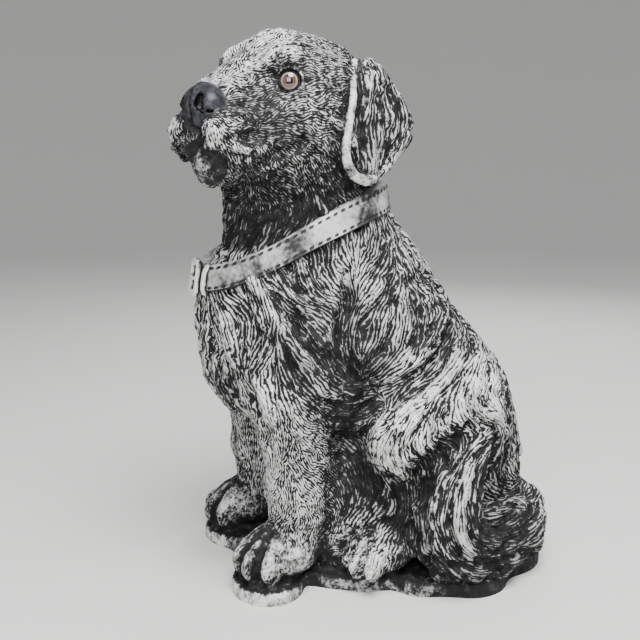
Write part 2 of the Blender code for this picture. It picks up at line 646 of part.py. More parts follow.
def buckle_bars(clay):
    """A frame of four bars with the prong across its middle, upright on the front of the collar."""
    height = COLLAR_MIDDLE - COLLAR_DROP
    wide, tall, bar = BUCKLE_WIDTH / UNIT, BUCKLE_HEIGHT / UNIT, BUCKLE_BAR / UNIT
    reach = neck_radius(clay, np.zeros(1), np.array([height]))[0] + COLLAR_THICKNESS / UNIT
    front = (NECK_AXIS[0], NECK_AXIS[1] - reach, height)
    for side in (1, -1):
        yield box((bar, 2 * bar, tall), (side * (wide - bar) / 2, front[1], front[2]))
        yield box((wide, 2 * bar, bar), (0, front[1], front[2] + side * (tall - bar) / 2))
    yield box((wide, 1.4 * bar, 0.6 * bar), (0, front[1] - 0.2 * bar, front[2]))


def eye_ball(side, radius):
    corners, faces = primitive(bmesh.ops.create_uvsphere, u_segments=18, v_segments=10, radius=radius)
    place = HEAD.outward([EYE_AT * (side, 1, 1)])
    data = bpy.data.meshes.new("eye")
    data.from_pydata(corners + place, [], faces)
    return data


def painted(name, colour, roughness):
    material = bpy.data.materials.new(name)
    material.use_nodes = True
    shader = material.node_tree.nodes["Principled BSDF"]
    shader.inputs["Base Color"].default_value = (*colour, 1)
    shader.inputs["Roughness"].default_value = roughness
    return material


def placed(name, data, collection, middle, material=None):
    """An object at real size from a mesh in units, with the figure's middle over the origin."""
    data.transform(Matrix.Scale(UNIT, 4) @ Matrix.Translation(-middle))
    obj = bpy.data.objects.new(name, data)
    collection.objects.link(obj)
    if material:
        data.materials.append(material)
    else:
        obj.hide_render = True
        obj.display_type = "WIRE"
    return obj


def new_collection(name):
    collection = bpy.data.collections.new(name)
    bpy.context.scene.collection.children.link(collection)
    return collection


def main():
    clear_scene()
    statue, helpers = new_collection("puppy_statue"), new_collection("cutters_and_unions")
    concrete = painted("dry_brushed_concrete", (0.16, 0.16, 0.165), 0.8)
    resin = painted("brown_eye_resin", (0.10, 0.045, 0.02), 0.08)

    clay = whole_dog()
    skin = modelled_skin(clay)
    skin = finished(skin, "DECIMATE", ratio=TRIANGLES / (2 * len(skin.polygons)))
    stood_on_the_ground(skin)
    extent = coordinates(skin)
    middle = Vector(extent.min(0) + extent.max(0)) / 2
    middle.z = 0
    puppy = placed("puppy_casting", skin, statue, middle, concrete)

    neck = bare_dog()
    joined = [("UNION", placed("collar_strap", strap(neck), helpers, middle))]
    joined += [("UNION", placed("buckle_bar", bar, helpers, middle)) for bar in buckle_bars(neck)]
    for side, name in ((1, "left"), (-1, "right")):
        socket = eye_ball(side, EYE_RADIUS + EYE_CLEARANCE / UNIT)
        joined.append(("DIFFERENCE", placed(name + "_eye_socket", socket, helpers, middle)))
        placed(name + "_eye", eye_ball(side, EYE_RADIUS), statue, middle, resin)
    for operation, helper in joined:
        modifier = puppy.modifiers.new(helper.name, "BOOLEAN")
        modifier.operation = operation
        modifier.object = helper


main()
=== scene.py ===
"""A sitting puppy for the garden: one concrete casting, painted black and dry-brushed with white.

Shapes are worked out in units, shares of the statue's height, on the dog's own axes: +X is its left,
-Y its front and +Z up. A unit is about a centimetre.
"""

import json
import math

import bmesh
import bpy
import numpy as np
import openvdb
from mathutils import Euler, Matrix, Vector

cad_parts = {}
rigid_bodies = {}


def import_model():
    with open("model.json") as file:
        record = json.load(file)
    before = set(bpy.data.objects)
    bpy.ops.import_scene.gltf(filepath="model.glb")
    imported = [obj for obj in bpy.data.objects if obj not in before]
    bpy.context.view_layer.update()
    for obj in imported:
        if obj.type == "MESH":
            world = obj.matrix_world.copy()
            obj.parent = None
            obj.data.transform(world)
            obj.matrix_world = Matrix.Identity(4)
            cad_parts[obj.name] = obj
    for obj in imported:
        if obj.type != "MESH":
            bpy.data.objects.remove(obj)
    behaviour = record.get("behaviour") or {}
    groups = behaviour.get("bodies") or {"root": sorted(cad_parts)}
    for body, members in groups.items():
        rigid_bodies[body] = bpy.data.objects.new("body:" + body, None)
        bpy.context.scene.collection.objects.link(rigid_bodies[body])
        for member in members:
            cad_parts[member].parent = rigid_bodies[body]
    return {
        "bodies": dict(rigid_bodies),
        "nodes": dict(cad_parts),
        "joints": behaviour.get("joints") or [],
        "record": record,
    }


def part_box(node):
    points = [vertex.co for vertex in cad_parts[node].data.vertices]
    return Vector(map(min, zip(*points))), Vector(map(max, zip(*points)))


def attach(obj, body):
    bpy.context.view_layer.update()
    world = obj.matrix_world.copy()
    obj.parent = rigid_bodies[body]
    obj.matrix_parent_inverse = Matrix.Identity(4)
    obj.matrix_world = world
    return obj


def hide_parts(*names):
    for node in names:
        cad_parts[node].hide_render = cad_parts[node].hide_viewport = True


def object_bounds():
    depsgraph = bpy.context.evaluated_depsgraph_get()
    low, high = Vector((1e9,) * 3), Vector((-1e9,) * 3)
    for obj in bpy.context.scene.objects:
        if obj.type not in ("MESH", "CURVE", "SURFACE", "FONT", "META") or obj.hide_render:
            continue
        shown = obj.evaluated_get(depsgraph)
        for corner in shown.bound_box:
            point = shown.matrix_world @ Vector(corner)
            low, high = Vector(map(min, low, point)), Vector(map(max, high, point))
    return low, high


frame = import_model()
cad_low, cad_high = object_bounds()


# The figure's place and measure
# The casting stands on the ground with its middle over the origin, as the foundry's model does. Its
# left eye, a ball of resin, tells how far the figure's own axes are from that middle.
UNITS_TALL = 47.9
UNIT = (cad_high.z - cad_low.z) / UNITS_TALL


class Frame:
    """Where a group of masses stands: its origin and its turn, in the statue's own axes."""

    def __init__(self, origin=(0, 0, 0), turn=(0, 0, 0)):
        self.origin = np.array(origin, float)
        self.rotation = np.array(Euler(turn, "XYZ").to_matrix(), float)

    def outward(self, points):
        """Points on the frame's axes, turned and moved on to the statue's."""
        return np.asarray(points, float) @ self.rotation.T + self.origin


BODY = Frame()
HEAD = Frame((0.8, -7.2, 41.0), (0, 0, math.radians(26)))
EYE_AT = np.array((3.8, -4.82, 2.39))
eye_low, eye_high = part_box("left_eye")
SHIFT = HEAD.outward([EYE_AT])[0] * UNIT - np.array((eye_low + eye_high) / 2)
SHIFT[2] = 0


def metres(points):
    """The statue's units and axes turned into the frame's."""
    return np.asarray(points, float) * UNIT - SHIFT


# The photographer's place and the studio
# The camera stood to the dog's left, a little in front, level with its mouth and tipped down. The
# floor is a pale sheet that bends up behind. A big soft window above and two weaker ones light it.
PHOTO_SIDE = 640
FOCAL_PIXELS = 980
HORIZON_ROW = 125
CAMERA_AZIMUTH = math.radians(72)
CAMERA_BACK, CAMERA_ASIDE, CAMERA_UP = 89.6, 5.0, 40.0


def round_the_dog(azimuth, distance, aside=0.0, height=0.0):
    """A place so far back from the figure's axis, at a compass angle from its front, in units."""
    back = np.array((math.sin(azimuth), -math.cos(azimuth), 0))
    right = np.array((math.cos(azimuth), math.sin(azimuth), 0))
    return back * distance - right * aside + (0, 0, height)


camera = bpy.data.objects.new("photographer", bpy.data.cameras.new("photographer"))
bpy.context.scene.collection.objects.link(camera)
bpy.context.scene.camera = camera
camera.data.lens = camera.data.sensor_width * FOCAL_PIXELS / PHOTO_SIDE
camera.location = metres(round_the_dog(CAMERA_AZIMUTH, CAMERA_BACK, CAMERA_ASIDE, CAMERA_UP))
down = math.atan((PHOTO_SIDE / 2 - HORIZON_ROW) / FOCAL_PIXELS)
camera.rotation_euler = (math.pi / 2 - down, 0, CAMERA_AZIMUTH)

MIDDLE_HEIGHT = 24
AIR_COLOUR, AIR_STRENGTH = (0.93, 0.95, 1.0, 1), 0.5


def softbox(name, azimuth, distance, height, side, watts):
    """A square lamp that faces the middle of the statue: places in units, its side in metres."""
    lamp = bpy.data.objects.new(name, bpy.data.lights.new(name, "AREA"))
    lamp.data.size = side
    lamp.data.energy = watts
    place = metres(round_the_dog(math.radians(azimuth), distance, 0, height))
    lamp.location = place
    aim = place - metres((0, 0, MIDDLE_HEIGHT))
    turn = math.atan2(math.hypot(aim[0], aim[1]), aim[2])
    lamp.rotation_euler = (turn, 0, math.atan2(aim[1], aim[0]) + math.pi / 2)
    bpy.context.scene.collection.objects.link(lamp)


softbox("sky_window", azimuth=88, distance=70, height=160, side=0.9, watts=56)
softbox("front_window", azimuth=62, distance=125, height=78, side=0.8, watts=17)
softbox("rear_window", azimuth=235, distance=120, height=90, side=0.8, watts=9)

world = bpy.data.worlds.new("studio_air")
world.use_nodes = True
world.node_tree.nodes["Background"].inputs["Color"].default_value = AIR_COLOUR
world.node_tree.nodes["Background"].inputs["Strength"].default_value = AIR_STRENGTH
bpy.context.scene.world = world


class Value:
    """A socket of a material's nodes. An operator on it adds the Math node that works it out."""

    def __init__(self, recipe, socket):
        self.recipe, self.socket = recipe, socket

    def math(self, operation, *values):
        """A Math node of that operation on the values."""
        sockets = dict(enumerate(values))
        return self.recipe.node("ShaderNodeMath", {"operation": operation}, sockets)

    def __add__(self, other):
        return self.math("ADD", self, other)

    def __sub__(self, other):
        return self.math("SUBTRACT", self, other)

    def __rsub__(self, other):
        return self.math("SUBTRACT", other, self)

    def __mul__(self, other):
        return self.math("MULTIPLY", self, other)

    __radd__ = __add__
    __rmul__ = __mul__

    def step(self, low, high):
        """0 below low, 1 above high and a smooth rise between."""
        sockets = {"Value": self, "From Min": low, "From Max": high}
        return self.recipe.node("ShaderNodeMapRange", {"interpolation_type": "SMOOTHSTEP"}, sockets)


class Recipe:
    """A material and the nodes that are put into it."""

    def __init__(self, name):
        self.material = bpy.data.materials.new(name)
        self.material.use_nodes = True
        self.tree = self.material.node_tree
        self.shader = self.tree.nodes["Principled BSDF"]

    def feed(self, socket, value):
        """A link where the value comes from a node, and the number or colour itself where it doesn't."""
        if isinstance(value, Value):
            self.tree.links.new(value.socket, socket)
        else:
            socket.default_value = value

    def node(self, kind, settings=None, sockets=None, output=0):
        """A node of that kind: its settings are set first, then its sockets, by name or number."""
        made = self.tree.nodes.new(kind)
        for name, setting in (settings or {}).items():
            setattr(made, name, setting)
        for name, value in (sockets or {}).items():
            self.feed(made.inputs[name], value)
        return Value(self, made.outputs[output])

    def place(self):
        """The piece's own coordinates, in metres."""
        return self.node("ShaderNodeTexCoord", output="Object")

    def attribute(self, name, output="Fac"):
        """A number, or a vector, that the piece's corners carry by that name."""
        return self.node("ShaderNodeAttribute", {"attribute_name": name}, output=output)

    def mottle(self, scale, detail=2.0, output="Fac", **settings):
        """Cloudy noise over the piece, with that many spots a metre."""
        sockets = {"Vector": self.place(), "Scale": scale, "Detail": detail}
        return self.node("ShaderNodeTexNoise", settings, sockets, output)

    def mix(self, share, first, second):
        """Two colours mixed: the first where share is 0."""
        sockets = {0: share, 6: first, 7: second}
        return self.node("ShaderNodeMix", {"data_type": "RGBA"}, sockets, 2)

    def finish(self, **sockets):
        """The material, with these sockets of its shader fed."""
        for name, value in sockets.items():
            self.feed(self.shader.inputs[name.replace("_", " ")], value)
        return self.material


def surface(name, corners, faces, material, **carried):
    """A smooth-shaded piece from corners in metres and faces, with numbers its paint reads by name.

    Corners at one place, as at a pole, are made one.
    """
    mesh = bpy.data.meshes.new(name)
    mesh.from_pydata(np.asarray(corners), [], np.asarray(faces).tolist())
    for label, numbers in carried.items():
        attribute = mesh.attributes.new(label, "FLOAT", "POINT")
        attribute.data.foreach_set("value", np.ravel(numbers).astype(np.float32))
    shell = bmesh.new()
    shell.from_mesh(mesh)
    bmesh.ops.remove_doubles(shell, verts=shell.verts, dist=1e-6)
    shell.to_mesh(mesh)
    shell.free()
    mesh.materials.append(material)
    mesh.shade_smooth()
    made = bpy.data.objects.new(name, mesh)
    bpy.context.scene.collection.objects.link(made)
    return made


FLAT_REACH, SWEEP, WALL = 2.4, 2.0, 1.5
FLAT_STEPS, BEND_STEPS, SHEET_TURNS = 8, 24, 96
sheet = Recipe("pale_sheet")
sheet.finish(Base_Color=(0.62, 0.61, 0.59, 1), Roughness=0.85)
bend = np.linspace(0, math.pi / 2, BEND_STEPS)
flat_part, bent_part = np.linspace(0, FLAT_REACH, FLAT_STEPS), FLAT_REACH + SWEEP * np.sin(bend)
reach = np.concatenate([flat_part, bent_part, [FLAT_REACH + SWEEP]])
rise = np.concatenate([np.zeros(FLAT_STEPS), SWEEP * (1 - np.cos(bend)), [SWEEP + WALL]])
round_it = np.arange(SHEET_TURNS)[:, None] * 2 * math.pi / SHEET_TURNS
sheet_corners = np.stack([reach * np.cos(round_it), reach * np.sin(round_it), rise + 0 * round_it], -1)


def wrapped(rows, columns, row_closed=True, column_closed=True):
    """Quads of a grid of corners, joined round to its start where it is closed."""
    row = np.arange(rows if row_closed else rows - 1)[:, None]
    column = np.arange(columns if column_closed else columns - 1)
    next_row, next_column = (row + 1) % rows, (column + 1) % columns
    return np.stack(np.broadcast_arrays(row * columns + column, row * columns + next_column,
                                        next_row * columns + next_column, next_row * columns + column),
                    -1).reshape(-1, 4)


sheet_quads = wrapped(SHEET_TURNS, len(reach), column_closed=False)[:, ::-1]
surface("studio_sheet", sheet_corners.reshape(-1, 3), sheet_quads, sheet.material)


# The casting
# One pour of fine concrete from a rubber mould: dog, collar and slab together. Its form is a field of
# masses pressed on one another like pellets of clay, whose value at a point is the distance to the skin.
MARGIN, FAR_OFF = 2.0, 50.0


class Ball:
    """An ellipsoid. Its distance is the usual first-order estimate, exact on the skin."""

    def __init__(self, centre, radii, turn=(0, 0, 0), frame=BODY):
        own = Frame(centre, [math.radians(angle) for angle in turn])
        self.rotation = frame.rotation @ own.rotation
        self.centre = frame.outward([centre])[0]
        self.radii = np.array(radii, float)
        self.reach = self.radii.max()

    def distance(self, points):
        local = (points - self.centre) @ self.rotation / self.radii
        length = np.linalg.norm(local, axis=-1)
        slope = np.linalg.norm(local / self.radii, axis=-1) + 1e-9
        return length * (length - 1) / slope


class Limb:
    """A tapered round bar through several points, each with its own radius."""

    def __init__(self, path, radii, frame=BODY):
        self.path = frame.outward(path)
        self.radii = np.array(radii, float) * np.ones(len(self.path))
        self.centre = (self.path.min(0) + self.path.max(0)) / 2
        self.reach = (np.linalg.norm(self.path - self.centre, axis=1) + self.radii).max()

    def distance(self, points):
        found = np.full(points.shape[:-1], np.inf)
        for a, b, ra, rb in zip(self.path, self.path[1:], self.radii, self.radii[1:]):
            along = b - a
            share = np.clip((points - a) @ along / (along @ along), 0, 1)
            from_axis = np.linalg.norm(points - a - share[..., None] * along, axis=-1)
            found = np.minimum(found, from_axis - (ra + (rb - ra) * share))
        return found


def blend(here, other, softness, is_cut=False):
    """The smaller of two distances, rounded where they are within softness of each other."""
    sign = -1 if is_cut else 1
    here = sign * here
    share = np.clip(0.5 + 0.5 * (here - other) / softness, 0, 1)
    return sign * (here + (other - here) * share - softness * share * (1 - share))


class Slab:
    """A thin plate with a rounded rim, whose plan is the blend of discs, each (x, y, radius)."""

    ROUNDING = 0.25
    SOFTNESS = 1.5

    def __init__(self, discs, bottom, top):
        self.discs = np.array(discs, float)
        self.bottom, self.top = bottom, top
        self.centre = np.array([*self.discs[:, :2].mean(0), (bottom + top) / 2])
        spread = np.linalg.norm(self.discs[:, :2] - self.centre[:2], axis=1) + self.discs[:, 2]
        self.reach = spread.max()

    def distance(self, points):
        plan = np.full(points.shape[:-1], FAR_OFF)
        for x, y, radius in self.discs:
            disc = np.hypot(points[..., 0] - x, points[..., 1] - y) - radius
            plan = blend(plan, disc, self.SOFTNESS)
        height = abs(points[..., 2] - self.centre[2]) - (self.top - self.bottom) / 2
        plan, height = plan + self.ROUNDING, height + self.ROUNDING
        outside = np.hypot(np.maximum(plan, 0), np.maximum(height, 0))
        return outside + np.minimum(np.maximum(plan, height), 0) - self.ROUNDING


class Beyond:
    """Everything on the side of a plane that way points to."""

    def __init__(self, at, way):
        self.centre = np.array(at, float)
        self.way = np.array(way, float) / np.linalg.norm(way)
        self.reach = 2 * FAR_OFF

    def distance(self, points):
        return (self.centre - points) @ self.way


class Clay:
    """Masses added and hollows cut one after another, each blended over its own softness."""

    def __init__(self, steps=()):
        self.steps = list(steps)
        self.combed = []

    def add(self, mass, softness=0.5):
        """A mass pressed on to the clay."""
        self.steps.append((mass, softness, False))

    def cut(self, mass, softness=0.3):
        """A hollow of the mass's shape cut out of the clay."""
        self.steps.append((mass, softness, True))

    def steps_near(self, points):
        """Each step with the indices of the points that it can move."""
        found = []
        for mass, softness, is_cut in self.steps:
            square = ((points - mass.centre) ** 2).sum(1)
            near = np.flatnonzero(square < (mass.reach + softness + MARGIN) ** 2)
            if len(near):
                found.append((mass, softness, is_cut, near))
        return found

    def distance(self, points, steps=None):
        """The field at scattered points: every step blended in, in order."""
        value = np.full(len(points), FAR_OFF)
        for mass, softness, is_cut, near in steps or self.steps_near(points):
            value[near] = blend(value[near], mass.distance(points[near]), softness, is_cut)
        return value

    def on_grid(self, axes):
        """The distance at every node of a regular grid."""
        grid = np.stack(np.meshgrid(*axes, indexing="ij"), -1)
        value = np.full(grid.shape[:3], FAR_OFF)
        for mass, softness, is_cut in self.steps:
            reach = mass.reach + softness + MARGIN
            ends = [np.searchsorted(axis, (at - reach, at + reach)) for axis, at in zip(axes, mass.centre)]
            part = tuple(slice(*end) for end in ends)
            value[part] = blend(value[part], mass.distance(grid[part]), softness, is_cut)
        return value

    def normals(self, points, steps=None, step=0.03):
        """The gradient, from four samples at the corners of a small tetrahedron."""
        steps = steps or self.steps_near(points)
        total = np.zeros_like(points)
        for corner in ((1, 1, 1), (1, -1, -1), (-1, 1, -1), (-1, -1, 1)):
            total += np.outer(self.distance(points + np.array(corner) * step, steps), corner)
        return total / (4 * step)

    def draw_on(self, points, rounds=4, reach=0.6):
        """The points moved along the gradient until they lie on the skin."""
        steps = self.steps_near(points)
        for _ in range(rounds):
            slope = self.normals(points, steps)
            steepness = np.maximum((slope**2).sum(1), 0.25)
            step = np.clip(self.distance(points, steps) / steepness, -reach, reach)
            points = points - step[:, None] * slope
        return points


def mirrored(side, *points):
    """The points, or their mirror images where side is -1."""
    return [(side * x, y, z) for x, y, z in points]


def flowing(path, count):
    """Points spread along a Catmull-Rom curve: each stretch is a cubic bent by its neighbours."""
    path = np.asarray(path, float)
    path = np.concatenate([2 * path[:1] - path[1:2], path, 2 * path[-1:] - path[-2:-1]])
    share = np.linspace(0, len(path) - 3 - 1e-9, count)
    first = share.astype(int)
    t = (share - first)[:, None]
    a, b, c, d = (path[first + k] for k in range(4))
    return b + 0.5 * t * (c - a + t * (2 * a - 5 * b + 4 * c - d + t * (3 * b - a - 3 * c + d)))


def drawn_line(clay, path, frame=BODY, count=9):
    """A flowing line through the points, pulled on to the skin."""
    return clay.draw_on(frame.outward(flowing(path, count)), rounds=8, reach=1.0)


def groove(clay, path, width, depth, frame=BODY):
    """A round-bottomed furrow that runs out to nothing at both ends."""
    line = drawn_line(clay, path, frame, 2 * len(path) + 3)
    taper = np.sin(np.pi * np.linspace(0.08, 0.92, len(line))) ** 0.5
    line += clay.normals(line) * ((width / 2 - depth) * taper)[:, None]
    clay.cut(Limb(line, width / 2 * taper), 0.3)


def ridge(clay, path, width, frame=BODY):
    """A round bead laid along a flowing line on the skin."""
    clay.add(Limb(drawn_line(clay, path, frame), width / 2), 0.25)


def lock(clay, path, width, rise=0.35, frame=BODY):
    """A lock of hair that swells from its root and runs out to a thin tip, standing out by its rise."""
    line = drawn_line(clay, path, frame)
    taper = np.sin(np.pi * np.linspace(0, 1, 9) ** 0.7)
    radii = 0.5 * width * np.maximum(taper, 0.15)
    clay.combed.append(line)
    clay.add(Limb(line + clay.normals(line) * (radii * (2 * rise - 1))[:, None], radii), 0.25)


def locks(clay, first, last, count, width, rise=0.35, frame=BODY):
    """Locks side by side, from one line of points to another."""
    first, last = np.array(first), np.array(last)
    for share in np.linspace(0, 1, count):
        lock(clay, first + (last - first) * share, width, rise, frame)


def trunk(clay):
    """Ribcage, neck, back and rump along the spine, the breast in front and the belly below."""
    clay.add(Ball((0, -5.3, 22.0), (7.9, 8.6, 9.4)))
    spine = [(0.3, -7.0, 36.0), (0, -7.0, 32.6), (0, -5.5, 28.6), (0, 0.2, 19.4), (0, 4.5, 12.8),
             (0, 6.2, 8.0)]
    clay.add(Limb(spine, [6.3, 6.9, 7.4, 8.2, 9.1, 8.6]), 3.0)
    clay.add(Ball((0, -9.4, 23.0), (6.8, 7.2, 8.0)), 2.5)
    clay.add(Ball((-0.2, -10.6, 18.2), (4.9, 4.6, 4.4)), 2.0)
    clay.add(Ball((0, -3.2, 9.5), (5.6, 3.6, 9.5)), 2.0)


FORE_PAW, HIND_PAW, PAW_FLOOR = (6.2, -10.8), (8.7, -2.2), 1.15
FORE_TOES = [(-32, 2.3), (-4, 2.6), (24, 2.5), (52, 2.0)]
HIND_TOES = [(-40, 1.6), (-12, 2.1), (16, 2.2), (44, 1.9)]


def round_paw(side, paw, angle, reach, height):
    """A place round a paw, by its angle outwards from straight ahead."""
    angle = math.radians(angle)
    return side * (paw[0] + reach * math.sin(angle)), paw[1] - reach * math.cos(angle), height


def toes(clay, side, paw, places, radii):
    """Long balls fanned round a paw, each at its angle and reach."""
    for angle, reach in places:
        middle = round_paw(side, paw, angle, reach, radii[2] + PAW_FLOOR)
        clay.add(Ball(middle, radii, (0, 0, side * angle)), 0.25)


def haunch(clay, side):
    """Thigh, knee, shin and hind paw of one side, and the flank between knee and elbow."""
    clay.add(Ball((side * 5.8, 3.9, 13.6), (5.6, 6.9, 7.0), (-20, 0, 0)), 2.0)
    clay.add(Limb(mirrored(side, (7.0, 2.2, 13.8), (8.8, -0.3, 13.7)), [4.9, 3.6]), 1.6)
    clay.add(Limb(mirrored(side, (8.6, 0.8, 10.8), (8.3, 2.6, 4.6)), [2.6, 2.2]), 1.2)
    clay.add(Ball((side * HIND_PAW[0], HIND_PAW[1], 3.5), (2.3, 3.0, 2.1)), 0.8)
    toes(clay, side, HIND_PAW, HIND_TOES, (0.75, 1.5, 1.35))
    clay.add(Ball((side * 7.8, -1.4, 6.6), (2.3, 2.6, 2.8)), 1.0)
    clay.add(Ball((side * 4.4, -4.5, 6.5), (3.2, 4.8, 9.0)), 1.5)


def foreleg(clay, side):
    """Shoulder, forearm, wrist and fore paw of one side."""
    clay.add(Ball((side * 5.2, -8.4, 20.0), (4.0, 5.6, 6.8)), 2.0)
    leg = mirrored(side, (5.9, -9.6, 17.0), (6.0, -9.3, 12.5), (6.0, -9.1, 7.0))
    clay.add(Limb(leg, [3.9, 3.0, 2.7]), 1.2)
    clay.add(Ball((side * 6.1, -9.9, 9.3), (2.5, 2.3, 1.7)), 0.8)
    clay.add(Ball((side * FORE_PAW[0], FORE_PAW[1], 3.6), (2.9, 3.4, 2.4)), 1.0)
    toes(clay, side, FORE_PAW, FORE_TOES, (1.0, 1.8, 1.75))


def tail(clay):
    """A tapered bar from the rump, forward along the slab on the dog's left and up beside the haunch."""
    bone = [(0.5, 12.4, 4.2), (5.0, 12.7, 3.9), (8.8, 9.9, 3.4), (10.7, 6.0, 3.1), (11.1, 3.0, 4.2),
            (11.2, 2.5, 8.0), (11.2, 3.8, 11.0), (11.2, 5.4, 13.2)]
    clay.add(Limb(bone, [2.6, 2.9, 3.0, 3.0, 3.0, 2.7, 2.1, 1.1]), 0.8)


SLAB_THICKNESS, SLAB_SUNK = 1.2, 1.0


def slab(clay):
    """The thin base, a disc under each part that rests on it. Its lower part is cut off at the ground."""
    discs = [(5.4, -11.9, 3.05), (7.0, -12.2, 2.6), (-5.4, -11.6, 3.0), (-7.0, -12.2, 2.6), (0, -8.0, 5.5),
             (5.0, -5.5, 3.2), (6.5, -3.0, 3.2), (9.0, 1.5, 3.2), (10.0, 5.2, 3.6), (-5.0, -5.5, 3.2),
             (-6.5, -3.0, 3.2), (-7.6, 3.0, 4.2), (5.6, 9.2, 5.2), (-4.5, 9.2, 5.4), (0, 4.0, 9.0)]
    clay.add(Slab(discs, -SLAB_SUNK, SLAB_THICKNESS), 0.35)


def skull(clay):
    """Braincase, forehead, muzzle, bridge of the nose, chin, and cheeks and lips of both sides."""
    clay.add(Ball((0, -0.2, 1.15), (5.9, 6.5, 5.5), (-9, 0, 0), HEAD), 2.0)
    clay.add(Ball((0, -3.0, 2.9), (4.4, 3.1, 3.7), frame=HEAD), 1.5)
    clay.add(Ball((0, -6.9, -1.2), (3.5, 4.0, 3.9), (-10, 0, 0), HEAD), 1.5)
    clay.add(Limb([(0, -5.6, 2.8), (0, -9.6, 1.0)], [2.3, 1.75], HEAD), 1.0)
    clay.add(Ball((0, -8.8, -3.9), (2.5, 2.5, 2.1), frame=HEAD), 0.3)
    for side in (1, -1):
        clay.add(Ball((side * 3.7, -2.6, -2.0), (2.7, 4.9, 4.1), frame=HEAD), 2.0)
        clay.add(Ball((side * 2.1, -9.1, -1.8), (2.0, 3.1, 2.3), frame=HEAD), 0.5)
        clay.add(Ball((side * 2.9, -7.6, -3.2), (1.5, 2.9, 1.9), frame=HEAD), 0.8)


NOSE = [Ball((0, -10.6, 0.65), (2.05, 1.4, 1.55), (-8, 0, 0), HEAD),
        Ball((0, -10.9, -0.5), (1.25, 1.0, 1.0), frame=HEAD),
        Ball((1.2, -10.7, 0.35), (0.95, 1.2, 1.1), frame=HEAD),
        Ball((-1.2, -10.7, 0.35), (0.95, 1.2, 1.1), frame=HEAD)]


NOSE_GROOVE = [(-0.2, -11.8, 1.7), (-0.2, -12.1, 0.6), (-0.1, -12.0, -0.5), (0, -11.7, -1.4),
               (0, -11.4, -2.0)]


def nostril(side):
    """A hole shaped like a comma, whose tail runs outwards under the wing of the nose."""
    comma = [(side * x - 0.2, y, z) for x, y, z in
             ((1.15, -11.6, 1.0), (1.15, -11.7, 0.6), (1.45, -11.55, 0.2), (2.0, -11.1, -0.05))]
    return Limb(comma, [0.4, 0.5, 0.32, 0.15], HEAD)


def nose(clay):
    """The nose leather with its two holes and the groove down its middle."""
    for mass, softness in zip(NOSE, (0.2, 0.4, 0.4, 0.4)):
        clay.add(mass, softness)
    for side in (1, -1):
        clay.cut(nostril(side), 0.1)
    groove(clay, NOSE_GROOVE, 0.36, 0.28, HEAD)


def mouth(clay, side):
    """The parting of the lips, and the folds and pockets of a smiling cheek."""
    groove(clay, mirrored(side, (0.3, -12.0, -1.6), (1.5, -11.8, -2.1), (2.1, -11.5, -3.0),
                          (2.5, -10.9, -3.9), (3.2, -9.6, -4.6), (3.9, -8.0, -4.9),
                          (4.3, -6.4, -4.8)), 0.6, 0.45, HEAD)
    groove(clay, mirrored(side, (3.3, -9.4, -3.7), (4.0, -7.9, -4.0), (4.3, -6.8, -3.4), (4.5, -6.4, -2.4)),
           0.9, 0.3, HEAD)
    ridge(clay, mirrored(side, (3.2, -10.3, -2.5), (3.7, -8.9, -2.9), (4.0, -7.8, -2.7), (4.2, -7.2, -2.1)),
          0.9, HEAD)
    groove(clay, mirrored(side, (3.5, -10.2, -1.9), (3.8, -9.2, -1.95), (4.1, -8.1, -1.8)), 1.0, 0.45, HEAD)
    ridge(clay, mirrored(side, (4.0, -8.2, -4.4), (4.3, -6.9, -4.0), (4.8, -5.5, -3.4), (5.1, -4.4, -2.4)),
          0.9, HEAD)
    groove(clay, mirrored(side, (4.6, -6.2, -3.0), (4.9, -5.4, -2.6), (5.1, -4.8, -1.9)), 0.9, 0.4, HEAD)
    groove(clay, mirrored(side, (3.9, -7.2, -5.3), (4.2, -6.0, -5.5), (4.4, -4.8, -5.4)), 0.9, 0.35, HEAD)
    ridge(clay, mirrored(side, (3.9, -8.0, -5.7), (4.0, -6.2, -6.2), (4.2, -4.5, -6.4), (4.6, -4.0, -5.6)),
          0.45, HEAD)


EYE_RADIUS = 0.996
EYE_LOOKS = np.array((0.72, -0.69, 0.05))
LID_WIDTH, LID_GAP, LID_FORWARD, LID_LEAN = 0.13, 0.1, 0.4, 0.12


def lid_line(side):
    """The ring of the lids round one eye, whose upper half stands further forward, and its look."""
    looks = EYE_LOOKS * (side, 1, 1) / np.linalg.norm(EYE_LOOKS)
    across = np.cross(looks, (0, 0, 1))
    across /= np.linalg.norm(across)
    above = np.cross(across, looks)
    turns = np.linspace(0, 2 * math.pi, 17)[:, None]
    ring = (EYE_RADIUS + LID_GAP) * (np.cos(turns) * across + np.sin(turns) * above)
    forward = LID_FORWARD + LID_LEAN * np.sin(turns)
    return EYE_AT * (side, 1, 1) + forward * looks + ring, looks


def brow_and_eye(clay, side):
    """The brow's swell, the socket, the lids as a ring in it, and the groove over the brow."""
    line, looks = lid_line(side)
    clay.add(Ball((side * 2.9, -4.6, 4.1), (1.9, 1.7, 1.3), frame=HEAD), 0.8)
    clay.cut(Ball(EYE_AT * (side, 1, 1) + 1.95 * looks, (1.7, 1.7, 1.7), frame=HEAD), 0.7)
    clay.add(Limb(line, LID_WIDTH, HEAD), 0.15)
    groove(clay, mirrored(side, (3.6, -6.6, 2.8), (3.5, -6.8, 3.9), (3.5, -6.1, 4.8), (3.7, -4.4, 5.4),
                          (4.2, -2.7, 5.3)), 0.8, 0.25, HEAD)


